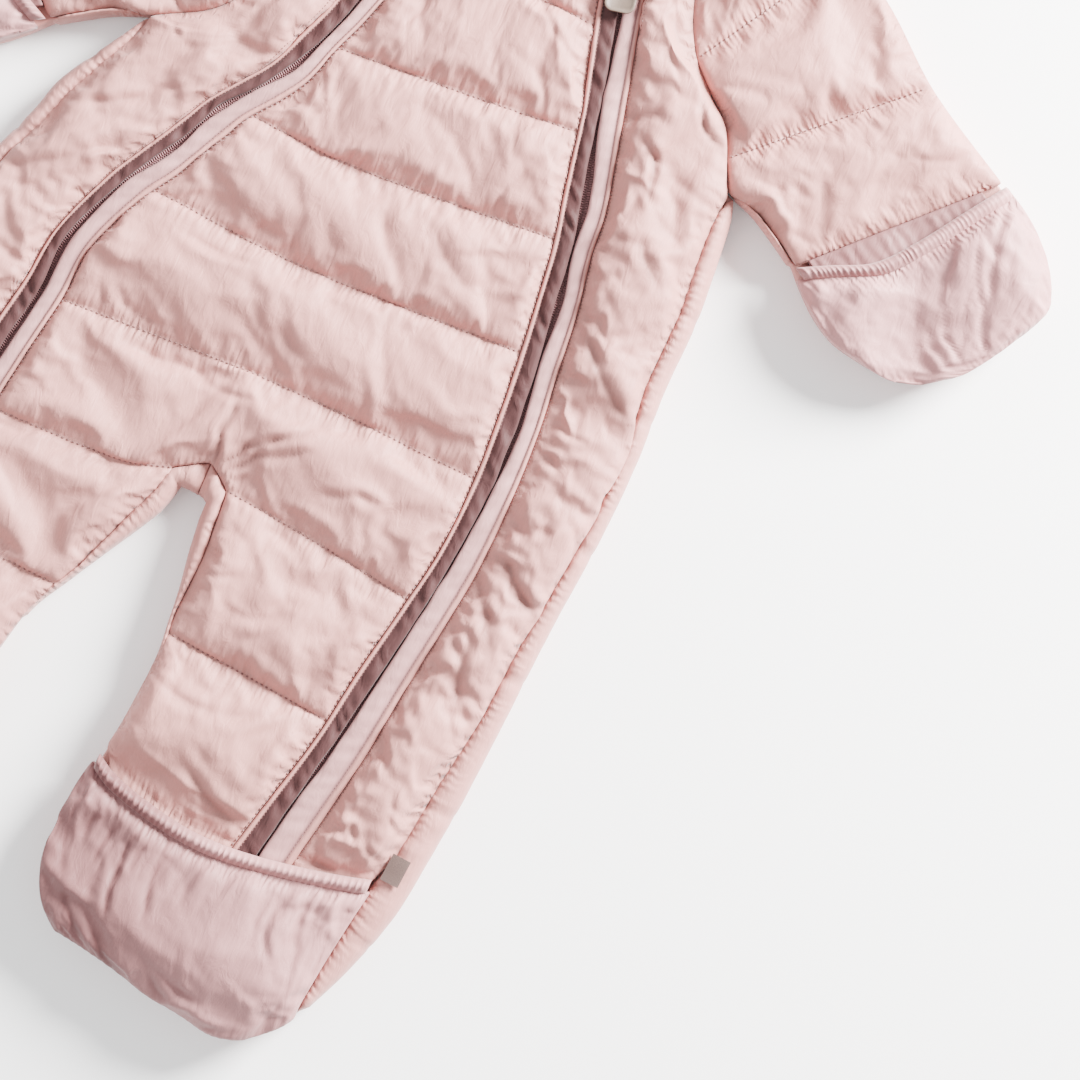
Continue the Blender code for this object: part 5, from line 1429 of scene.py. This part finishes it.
# Section of a casing across its band, from the opening's edge: share of the band, height, share of the ribs.
CASING_SECTION = (
    (0, 0.2, 0.2), (0, 1.8, 0.5), (0.06, 3.8, 0.7), (0.18, 5.8, 0.9), (0.34, 6.9, 1), (0.52, 7, 1),
    (0.68, 6.3, 1), (0.82, 5.2, 0.8), (0.93, 4.4, 0.5), (1, 3.2, 0.3), (1, 0.2, 0.2),
)
# Folds on the left mitt's plan, as for the sleeve.
MITT_FOLDS = (
    (85, 111, 91, 99, 2.2, 2.4), (91, 99, 102, 88, 2.6, 2.6), (102, 88, 115, 77, 2.4, 2.2),
    (115, 77, 137, 59, 2, 2), (86, 91, 97, 81, 1.6, 1.4), (97, 81, 118, 70, 1.4, 1.6),
    (118, 70, 137, 58, 1.4, 1.8), (81, 82, 92, 70, 1.6, 1.8), (92, 70, 105, 53, 1.8, 1.4),
    (141, 69, 136, 78, 1.6, 2.2), (136, 78, 131, 89, 1.6, 1.4), (133, 45, 120, 46, 1.6, 2.6),
    (120, 46, 108, 53, 1.6, 1.6), (134, 38, 120, 38, 1.8, 2), (120, 38, 109, 43, 1.8, 1.2),
    (82, 34, 91, 18, 2.2, 1), (70, 52, 76, 39, 1.8, 0.9), (125, 55, 132, 47, 1.4, 1.6),
    (136, 68, 137, 54, 1.4, 1.8), (107, 71, 116, 60, 1.4, 1), (102, 40, 114, 41, 2, 0.9),
    (96, 117, 107, 106, 2.4, 0.8), (133, 39, 139, 54, 1.2, 1.8), (139, 54, 140, 70, 1.2, 1.8),
    (140, 70, 139, 95, 1.2, 1.2),
)


def ribbed_casing(name, opening, place, ribs, low_edge, high_edge, seed, rib, end_shade, calm):
    """A gathered elastic casing: a band along the opening, ribbed by its gathers, no two quite alike."""
    points_per_rib = 7
    rows = []
    columns = ribs * points_per_rib
    for k in range(columns + 1):
        q = low_edge + (high_edge - low_edge) * k / columns
        phase = 2 * math.pi * (k / points_per_rib + 0.8 * grain(q, 0, 9, seed))
        wave = math.cos(phase) + 0.25 * math.cos(2 * phase)
        strength = rib * (0.7 + 0.8 * grain(q, 2, 8, seed + 1)) * (1 - calm * k / columns)
        sway = 0.4 * grain(q, 4, 12, seed + 2)
        end = min(rounding(q - low_edge + 0.4, 3), rounding(high_edge - q + 0.4, 3))
        base = CASING_BASE - 0.3 - 8 * calm * max(1 - (high_edge - q) / 16, 0) ** 2
        row = []
        for offset, height, ribbed in CASING_SECTION:
            u, v = place(q, opening(q), offset + sway / CASING_WIDTH * (0.2 < offset < 0.95))
            z = base + (height + strength * ribbed * wave) * end
            # Painted shade: darker down between the ribs, and towards the casing's start, the end away from
            # the light.
            dark = end_shade * math.exp(-(((q - low_edge) / 60) ** 4))
            row.append((u, v, max(z, base), 0.14 * ribbed * (1 - wave) + dark))
        rows.append(row)
    return skin(name, [rows], ("groove",), tube=True)


def make_cuff(side):
    hem = smooth_line((SLEEVE_QUILTS[2][:2], SLEEVE_QUILTS[2][2:]))
    opening = smooth_line(MITT_OPENING)

    def point(t, share):
        distance = 0.4 + (CUFF_LENGTH - 0.4) * t
        q = 13 + (104 - 13) * share
        along = hem(q) + distance + 2.0 * (opening(q) > hem(q) + 30)
        phase = 2 * math.pi * (CUFF_WAVES * share + 0.5 * grain(q, distance, 14, 41))
        end = min(distance / 3, 1) * min((CUFF_LENGTH + 2 - distance) / 8, 1)
        z = HEM_HEIGHT - 1.4 + (0.2 * math.cos(phase) + 1.8 * grain(q, 0.3 * distance, 11, 42)) * end
        return *sleeve_point(side, along, q), z, 0.0, 0.0, 3.0 + 4.0 * end, q

    return skin(f"cuff_cloth_{side}", [grid(12, CUFF_WAVES * 8, point)])


def crowded(share, by):
    """A share of the way, so that even steps of it come closer together at both ends."""
    return share - by * math.sin(2 * math.pi * share) / (2 * math.pi)


def fold_over_cover(name, rows, columns, crowd_rows, crowd, middle, lines, shape, reach, place):
    """A fold-over cover's cloth, between two lines along it (start, end) and two across it (low, high).

    shape(across, along, share of the way to the end) gives a point's height, and how far it is from the
    cover's edge and from its casing.
    """
    start, end, low, high = lines

    def point(t, share):
        sewn = float(t in (0, 1) or share in (0, 1))
        t, share = crowd_rows(t), crowded(share, crowd)
        q = middle
        for _ in range(16):
            along = (1 - t) * start(q) + t * end(q)
            q = 0.5 * q + 0.5 * ((1 - share) * low(along) + share * high(along))
        along = (1 - t) * start(q) + t * end(q)
        height, gap, from_casing = shape(q, along, t)
        gather = 0.35 + 0.65 * bell(from_casing / reach[0]) + 0.3 * bell(gap / reach[1])
        return *place(q, along), height, sewn, min(gather, 1), max(min(from_casing, gap + 2), 0), q

    return skin(name, [grid(rows, columns, point)])


def make_mitt(side):
    low, high = smooth_line(MITT_LOWER), smooth_line(MITT_UPPER)
    opening = smooth_line(MITT_OPENING)

    def shape(q, along, _):
        from_casing = along - opening(q) - CASING_WIDTH
        gap = min(q - low(along), high(along) - q, (MITT_END - along) * 1.1)
        edge = rounding(max(gap, 0.6), MITT_ROUNDING)
        near = rounding(8 + from_casing, MITT_ROUNDING)
        height = SEAM_HEIGHT + (MITT_HEIGHT - 1.0 + 1.2 * grain(along, q, 26, 51)) * edge * near
        return height + 0.6 * grain(along, q, 6, 52) * edge, gap, from_casing

    lines = (
        lambda q: opening(q) + (CASING_WIDTH - 0.9 - 4 * unit((q - 100) / 14)),
        smooth_line(MITT_TIP),
        lambda along: low(along) + 0.8,
        lambda along: high(along) - 0.4,
    )
    return fold_over_cover(
        f"mitt_cloth_{side}",
        rows=24,
        columns=44,
        crowd_rows=lambda t: crowded(t, 0.1) if t > 0.5 else t,
        crowd=0.45,
        middle=60.0,
        lines=lines,
        shape=shape,
        reach=(12, 8),
        place=lambda q, along: sleeve_point(side, along, q),
    )


FLAP = shell_cloth("flap_mauve", FLAP_MAUVE, FLAP_SHADE, 0.5)
for side in ("left", "right"):
    cuff = make_cuff(side)
    # The whole cuff is painted in shade, as it lies inside the mitt's opening.
    paint_seam_shade(cuff, 30.0, 0.8)
    close_below(cuff, FRONT_BASE)
    dress(cuff, FLAP, "flap_cloth", "cuff_" + side)
    band = ribbed_casing(
        f"mitt_casing_cloth_{side}",
        smooth_line(MITT_OPENING),
        lambda q, along, offset: sleeve_point(side, along + CASING_WIDTH * offset, q),
        ribs=44,
        low_edge=5.5,
        high_edge=116.2,
        seed=61,
        rib=0.42,
        end_shade=0.3,
        calm=0.75,
    )
    dress(band, FLAP, "flap_cloth", "mitt_casing_" + side)
    mitt = make_mitt(side)
    puckers = {"height": 0.8, "pitch": 5.0, "reach": 8.0, "groove": 0.4}
    plump_up(mitt, MITT_FOLDS, on_sleeve(side), {"lift": 0.35, "gather": 0.10}, puckers)
    dress(mitt, FLAP, "flap_cloth", "mitt_" + side)

# ---- Foot covers ---------------------------------------------------------------------
# The same fold-over covers at the feet, larger and puffed out over the front of the foot: a gathered elastic
# casing along the opening, from which the cloth falls in soft upright folds to the toe.
FOOT_INNER = (
    (-149, 8.6), (-160, 5.4), (-175, 3.2), (-190, 2.6), (-208, 4), (-222, 8), (-233, 14), (-240.5, 22),
)
FOOT_TIP = (
    (14, -240), (40, -243.5), (60, -247.5), (80, -252), (100, -254.8), (117, -257.4), (131, -254),
    (152, -247),
)
FOOT_END = ((-226, 157), (-231, 153.5), (-240, 147.5), (-248, 139), (-254, 131))
FOOT_HEIGHT = 20.0
FOOT_ROUNDING = 32.0
# Folds on the left foot, from end to end: across, up, across, up, half width, depth.
FOOT_FOLDS = (
    (43, -180, 42, -199, 2, 3), (42, -199, 45, -219, 2, 3), (33, -180, 29, -199, 1.8, 2.4),
    (60, -184, 63, -211, 1.8, 3), (65, -176, 64, -199, 1.8, 2.2), (49, -185, 47, -197, 1.6, 2),
    (21, -179, 19, -191, 1.8, 2), (17, -166, 11, -174, 2, 2), (11, -174, 10, -187, 2, 2),
    (116, -184, 115, -197, 1.6, 2), (123, -182, 122, -198, 2, 2.2), (122, -198, 129, -208, 2, 2.2),
    (136, -171, 135, -185, 2, 2.4), (135, -185, 138, -198, 2, 2.4), (141, -167, 140, -180, 1.4, 1.4),
    (95, -180, 93, -190, 1.6, 1.4), (10, -194, 16, -211, 3, 1.6), (22, -222, 37, -237, 3, 2.4),
    (44, -234, 63, -248, 4, 2.6), (79, -242, 89, -249, 3, 2.4), (81, -237, 95, -242, 2.4, 1.8),
    (95, -242, 102, -244, 2.4, 1.8), (109, -254, 128, -250, 2.2, 1.8), (32, -204, 37, -222, 3, 1.4),
    (86, -223, 94, -241, 2.4, 1), (100, -206, 96, -225, 4, 1), (118, -225, 133, -231, 4, 0.8),
    (161, -179, 170, -185, 2, 1.4), (80, -182, 77, -202, 1.6, 1.4), (34, -189, 33, -203, 1.4, 1.6),
)


def make_foot_cover(side):
    inner, seam, end = smooth_line(FOOT_INNER), SIDE["left"]["seam"], smooth_line(FOOT_END)
    opening, tip = smooth_line(FOOT_OPENING), smooth_line(FOOT_TIP)
    first_up, second_up = FOOT_END[0][0], FOOT_END[1][0]

    def outer(up):
        if up > first_up:
            return seam(up) + 0.9
        return min(end(up), seam(first_up) + 0.9 + 0.9 * max(second_up - up, 0))

    def shape(u, up, t):
        from_casing = opening(u) - CASING_WIDTH - up
        gap = min(u - inner(up), outer(up) + 2 - u, (up - tip(u) + 1.2) * 1.1)
        edge = rounding(max(gap, 0.6), FOOT_ROUNDING)
        lean = 0.62 + 0.38 * min(0.55 * u / 150 + 0.6 * (1 - t), 1)
        near = rounding(9 + from_casing, FOOT_ROUNDING)
        height = SEAM_HEIGHT + (FOOT_HEIGHT - 1.5 + 1.2 * grain(u, up, 44, 71)) * edge * near * lean
        return height, gap, from_casing

    lines = (
        lambda u: opening(u) - CASING_WIDTH + 0.9,
        tip,
        lambda up: inner(up) + 0.8,
        outer,
    )
    return fold_over_cover(
        f"foot_cover_cloth_{side}",
        rows=34,
        columns=60,
        crowd_rows=lambda t: crowded(t, 0.25),
        crowd=0.4,
        middle=80.0,
        lines=lines,
        shape=shape,
        reach=(14, 9),
        place=LEG[side],
    )


def paint_corner_shade(obj, corner, reach, most):
    """Paints shade into the colour towards one corner, where the cover turns under the foot."""
    away = np.linalg.norm(point_places(obj.data)[:, :2] - np.array(scene_point(*corner, 0))[:2], axis=1) / MM
    values = point_values(obj.data, "groove") + most * np.exp(-((away / reach) ** 2))
    keep_values(obj.data, "groove", np.clip(values, 0, 1))


for side in ("left", "right"):
    band = ribbed_casing(
        f"foot_casing_cloth_{side}",
        smooth_line(FOOT_OPENING),
        lambda u, up, offset: LEG[side](u, up - CASING_WIDTH * offset),
        ribs=46,
        low_edge=9.5,
        high_edge=159.5,
        seed=81,
        rib=0.6,
        end_shade=0.75,
        calm=0.2,
    )
    dress(band, FLAP, "flap_cloth", "foot_casing_" + side)
    foot = make_foot_cover(side)
    puckers = {"height": 0.8, "pitch": 5.2, "reach": 9.0, "groove": 0.4}
    plump_up(foot, FOOT_FOLDS, LEG[side], {"lift": 0.35, "gather": 0.09}, puckers)
    # Painted shade towards the foot's lower corner, on the side away from the light.
    paint_corner_shade(foot, LEG[side](-8, -232), 120.0, 0.85)
    dress(foot, FLAP, "flap_cloth", "foot_cover_" + side)

# ---- Hood ----------------------------------------------------------------------------
# The hood lies open above the neck: a plain back, and round the face opening a padded rim in two halves,
# joined at the top.
HOOD_PLACE = (44, 352, 2.0)
HOOD_OUTER = ((21, 78), (35, 82), (60, 89), (95, 93), (130, 90), (162, 78), (188, 57), (204, 31), (210, 0))
HOOD_FACE = ((-8, 43), (25, 51), (55, 56), (90, 55), (120, 45), (142, 29), (155, 12), (158, 0))
HOOD_HEIGHT = 8.6
# Folds of either half: out from the middle, up, out, up, half width, depth.
HOOD_FOLDS = (
    (50, 20, 78, 34, 5, 1.8), (56, 52, 86, 56, 5, 1.6), (58, 78, 90, 90, 5.5, 2),
    (54, 108, 86, 120, 5, 1.6), (38, 138, 72, 160, 5.5, 2), (20, 158, 44, 190, 5, 1.6),
)


def hood_point(across, up):
    u, v, turn = HOOD_PLACE
    c, s = math.cos(math.radians(turn)), math.sin(math.radians(turn))
    return u + across * c - up * s, v + across * s + up * c


def make_hood_side(side):
    outer, face = smooth_line(HOOD_OUTER), smooth_line(HOOD_FACE)

    def point(t, share):
        risen = 1 - (1 - t) ** 1.5
        inner_h = -8 + 165.6 * risen
        outer_h = 21 + 188.4 * risen
        a0, a1 = max(face(inner_h), 0.3), max(outer(outer_h) - 1.2, 0.3)
        if t == 1:
            a0 = a1 = 0.3
        width = math.hypot(a1 - a0, outer_h - inner_h)
        a = a0 + (a1 - a0) * share
        h = inner_h + 0.6 + (outer_h - inner_h - 0.6) * share
        u, v = hood_point(WAY[side] * a, h)
        ends = rounding(min(t, 1 - t) * 300 + 0.6, 12)
        edge = min(rounding(share * width, 10), rounding((1 - share) * width, 16)) * ends
        height = SEAM_HEIGHT + (HOOD_HEIGHT + 1.2 * grain(u, v, 31, 91)) * edge
        height += 0.5 * grain(u, v, 6, 92) * edge
        nearest = min(share * width, (1 - share) * width, min(t, 1 - t) * 300)
        sewn = float(t in (0, 1) or share in (0, 1))
        return u, v, height, sewn, gather_by(nearest, 0.25, 9), nearest, 200 * t

    return skin(f"hood_side_cloth_{side}", [grid(84, 16, point)])


hood_edge = smooth_line(HOOD_OUTER)
heights = (24, 40, 58, 78, 98, 118, 138, 156, 172, 186, 197, 205)
rising = [hood_point(hood_edge(h), h) for h in heights]
falling = [hood_point(-hood_edge(h), h) for h in reversed(heights)]
outline = [(u, v, "free", 0) for u, v in curve_through([*rising, hood_point(0, 210.5), *falling])]
outline += [(u, v, "joint", 0) for u, v in curve_through([(u, v + 0.5) for u, v in NECK_BACK])]
hood_back = rim_cloth("hood_back_cloth", outline, (), 95)
dress(hood_back, SHELL, "shell_cloth", "hood_back")
for side in ("left", "right"):
    hood_side = make_hood_side(side)
    puckers = {"height": 0.7, "groove": 0.8}
    plump_up(hood_side, HOOD_FOLDS, lambda a, h: hood_point(WAY[side] * a, h), {"gather": 0.14}, puckers)
    dress(hood_side, SHELL, "shell_cloth", "hood_side_" + side)

# ---- Sliders and pulls ---------------------------------------------------------------
# A small painted metal slider stands at the top of each zip. Its pull is a flat tab of smooth leather board
# with a raised border, on a neck that turns on a crossbar between the slider's two ears. It is left plain.
PIVOT_HEIGHT = 23.4
PULL_TURN = {"left": 11.5, "right": -12.5}
SLIDER_SIZE = (8.6, 11.0, 4.4)
SLIDER_BACK = 6.5
EAR_SIZE = (1.4, 9.0, 4.4)
EAR_SPACING = 5.6
CROSSBAR = (5.0, 2.6)
NECK_WIDTH = 3.8
TAB_START = 7.0
TAB_SIZE = (15.5, 35.0, 1.8)
TAB_CORNER = 4.5
TAB_SHOULDER = 2.5
BORDER_WIDTH = 1.3
PULL_GREIGE = (0.108, 0.075, 0.057)
SLIDER_GREIGE = (0.20, 0.15, 0.125)


def hard_box(name, size, place):
    """A box of the given size in mm, centred at a place in mm about the pull's pivot."""
    bpy.ops.object.select_all(action="DESELECT")
    bpy.ops.mesh.primitive_cube_add(size=1, location=[c * MM for c in place])
    box = bpy.context.object
    box.name = name
    box.scale = [c * MM for c in size]
    bpy.ops.object.transform_apply(location=True, rotation=True, scale=True)
    return box


def pick(obj, kind, test):
    """Selects the edges or faces whose middle, in mm, passes the test, and opens the mesh for editing."""
    select_only(obj)
    bpy.ops.object.mode_set(mode="EDIT")
    bpy.ops.mesh.select_mode(type=kind)
    bpy.ops.mesh.select_all(action="DESELECT")
    bpy.ops.object.mode_set(mode="OBJECT")
    mesh = obj.data
    for item in mesh.edges if kind == "EDGE" else mesh.polygons:
        middle = sum((mesh.vertices[i].co for i in item.vertices), Vector()) / len(item.vertices) / MM
        corners = [mesh.vertices[i].co / MM for i in item.vertices]
        item.select = test(middle, corners)
    bpy.ops.object.mode_set(mode="EDIT")


def round_corners(obj, test, radius, segments):
    pick(obj, "EDGE", test)
    bpy.ops.mesh.bevel(offset=radius * MM, segments=segments, affect="EDGES")
    bpy.ops.object.mode_set(mode="OBJECT")


def soften_edges(obj, width, segments=3):
    edge = obj.modifiers.new("soft_edge", "BEVEL")
    edge.width = width * MM
    edge.segments = segments
    edge.limit_method = "ANGLE"
    edge.angle_limit = math.radians(40)
    keep_modifier(obj, edge)


def join_parts(parts):
    select_only(*parts)
    bpy.ops.object.join()
    return parts[0]


def upright(ends):
    return abs(ends[0].z - ends[1].z) > 0.5


def make_tab():
    """The pull about its pivot: crossbar, neck, and a tab with round corners, bordered above and below."""
    middle = -TAB_START - TAB_SIZE[1] / 2
    tab = hard_box("pull_tab", TAB_SIZE, (0, middle, 0))
    round_corners(tab, lambda m, s: upright(s) and m.y < middle, TAB_CORNER, 8)
    round_corners(tab, lambda m, s: upright(s) and m.y > middle + 12, TAB_SHOULDER, 5)
    for way in (1, -1):
        pick(tab, "FACE", lambda m, s: m.z * way > 0.85)
        bpy.ops.mesh.inset(thickness=BORDER_WIDTH * MM, depth=0)
        bpy.ops.mesh.inset(thickness=0.35 * MM, depth=-0.28 * MM)
        bpy.ops.object.mode_set(mode="OBJECT")
    soften_edges(tab, 0.35)
    neck = hard_box("pull_neck", (NECK_WIDTH, TAB_START + 1.2, 1.5), (0, -TAB_START / 2 - 0.6, 0))
    soften_edges(neck, 0.5)
    bpy.ops.object.select_all(action="DESELECT")
    length, thickness = CROSSBAR
    bpy.ops.mesh.primitive_cylinder_add(
        vertices=20, radius=thickness / 2 * 0.66 * MM, depth=length * MM, rotation=(0, math.pi / 2, 0)
    )
    bar = bpy.context.object
    bpy.ops.object.transform_apply(location=True, rotation=True, scale=True)
    soften_edges(bar, 0.2, 2)
    return join_parts([tab, neck, bar])


def make_slider():
    """The slider about the pull's pivot: a waisted body over the coil, with two ears for the crossbar."""
    low = GUARD_BASE - PIVOT_HEIGHT
    centre_y = SLIDER_BACK - SLIDER_SIZE[1] / 2
    body = hard_box("slider_body", SLIDER_SIZE, (0, centre_y, low + SLIDER_SIZE[2] / 2))
    round_corners(body, lambda m, s: upright(s) and m.y < centre_y, 2.6, 6)
    round_corners(body, lambda m, s: upright(s) and m.y > centre_y + 4, 1.4, 4)
    pick(body, "FACE", lambda m, s: m.z > low + SLIDER_SIZE[2] - 0.1)
    bpy.ops.mesh.inset(thickness=0.8 * MM, depth=0.0)
    bpy.ops.mesh.inset(thickness=0.4 * MM, depth=0.35 * MM)
    bpy.ops.object.mode_set(mode="OBJECT")
    soften_edges(body, 0.45)
    parts = [body]
    deck = low + SLIDER_SIZE[2]
    for hand in (1, -1):
        across = hand * (EAR_SPACING + EAR_SIZE[0]) / 2
        ear = hard_box("slider_ear", EAR_SIZE, (across, centre_y + 0.6, deck + EAR_SIZE[2] / 2 - 0.1))
        round_corners(ear, lambda m, s: abs(s[0].x - s[1].x) > 0.5 and m.z > deck + 2, 2.0, 6)
        soften_edges(ear, 0.3)
        parts.append(ear)
    return join_parts(parts)


def fit_to_zip(obj, side):
    """Sets a fitting on its zip, at the pull's pivot and turned with the zip, and fixes it there."""
    body, _ = zip_lines(side)
    obj.location = scene_point(body["coil"](SLIDER_UP), SLIDER_UP, PIVOT_HEIGHT)
    obj.rotation_euler = (0, 0, math.radians(PULL_TURN[side]))
    select_only(obj)
    bpy.ops.object.transform_apply(location=True, rotation=True, scale=True)


LEATHER = grained(
    "greige_leather", PULL_GREIGE, (2200, 4), (240, 3), (0.88, 1.12, 0.3, 0.7), (0.0002, 0.5), (0.42, 0.58)
)
PAINTED_METAL = grained(
    "greige_painted_metal",
    SLIDER_GREIGE,
    fine=(3000, 4),
    cloud=(240, 3),
    tones=(0.95, 1.05, 0.3, 0.7),
    bump=(0.00004, 0.5),
    rough=(0.26, 0.42),
    metallic=0.55,
)
for side in ("left", "right"):
    for made, material, node, body, slot in (
        (make_tab(), LEATHER, "zip_pull_" + side, "pull_" + side, "pull_leather"),
        (make_slider(), PAINTED_METAL, "zip_slider_" + side, "suit", "slider_metal"),
    ):
        fit_to_zip(made, side)
        made.name = node + "_finished"
        made.data.materials.clear()
        made.data.materials.append(material)
        made.data.shade_smooth()
        made.data.set_sharp_from_angle(angle=math.radians(40))
        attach(made, body)
        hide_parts(node)


# ---- Side label ----------------------------------------------------------------------
# A small woven label, folded double, its raw edges sewn into the left side seam above the foot. It is bare.
LABEL_SIZE = (10.0, 14.5)
LABEL_PLACE = (168.5, -144.5, 4.0)
LABEL_HEIGHT = 20.8
LABEL_GREIGE = (0.078, 0.045, 0.038)
# The fold in section: the upper layer from its raw edge round to the lower one's, then the inside back again.
LABEL_SECTION = (
    *((-0.50, 0.18), (-0.30, 0.34), (0, 0.40), (0.30, 0.32), (0.44, 0.18), (0.49, 0.02)),
    *((0.49, -0.06), (0.42, -0.26), (0.2, -0.34), (-0.2, -0.34), (-0.5, -0.30)),
    *((-0.5, -0.16), (-0.2, -0.20), (0.2, -0.20), (0.40, -0.12), (0.44, 0)),
    *((0.38, 0.08), (0, 0.2), (-0.3, 0.14), (-0.5, 0.02)),
)


def make_label():
    u, v, turn = LABEL_PLACE
    c, s = math.cos(math.radians(turn)), math.sin(math.radians(turn))
    steps = 14
    rings = []
    for i in range(steps + 1):
        t = i / steps - 0.5
        ring = []
        for share, lift in LABEL_SECTION:
            x, y = share * LABEL_SIZE[0], t * LABEL_SIZE[1]
            z = LABEL_HEIGHT + lift + 0.12 * math.sin(5 * t) - 0.5 * max(share - 0.2, 0) * (1.2 + t)
            ring.append((u + x * c + y * s, v - x * s + y * c, z))
        rings.append(ring)
    return skin("side_label_cloth", [rings], (), tube=True)


label = make_label()
dress(label, woven_tape("label_greige", LABEL_GREIGE, 1900.0), "label_cloth", "side_label")
label.data.set_sharp_from_angle(angle=math.radians(50))
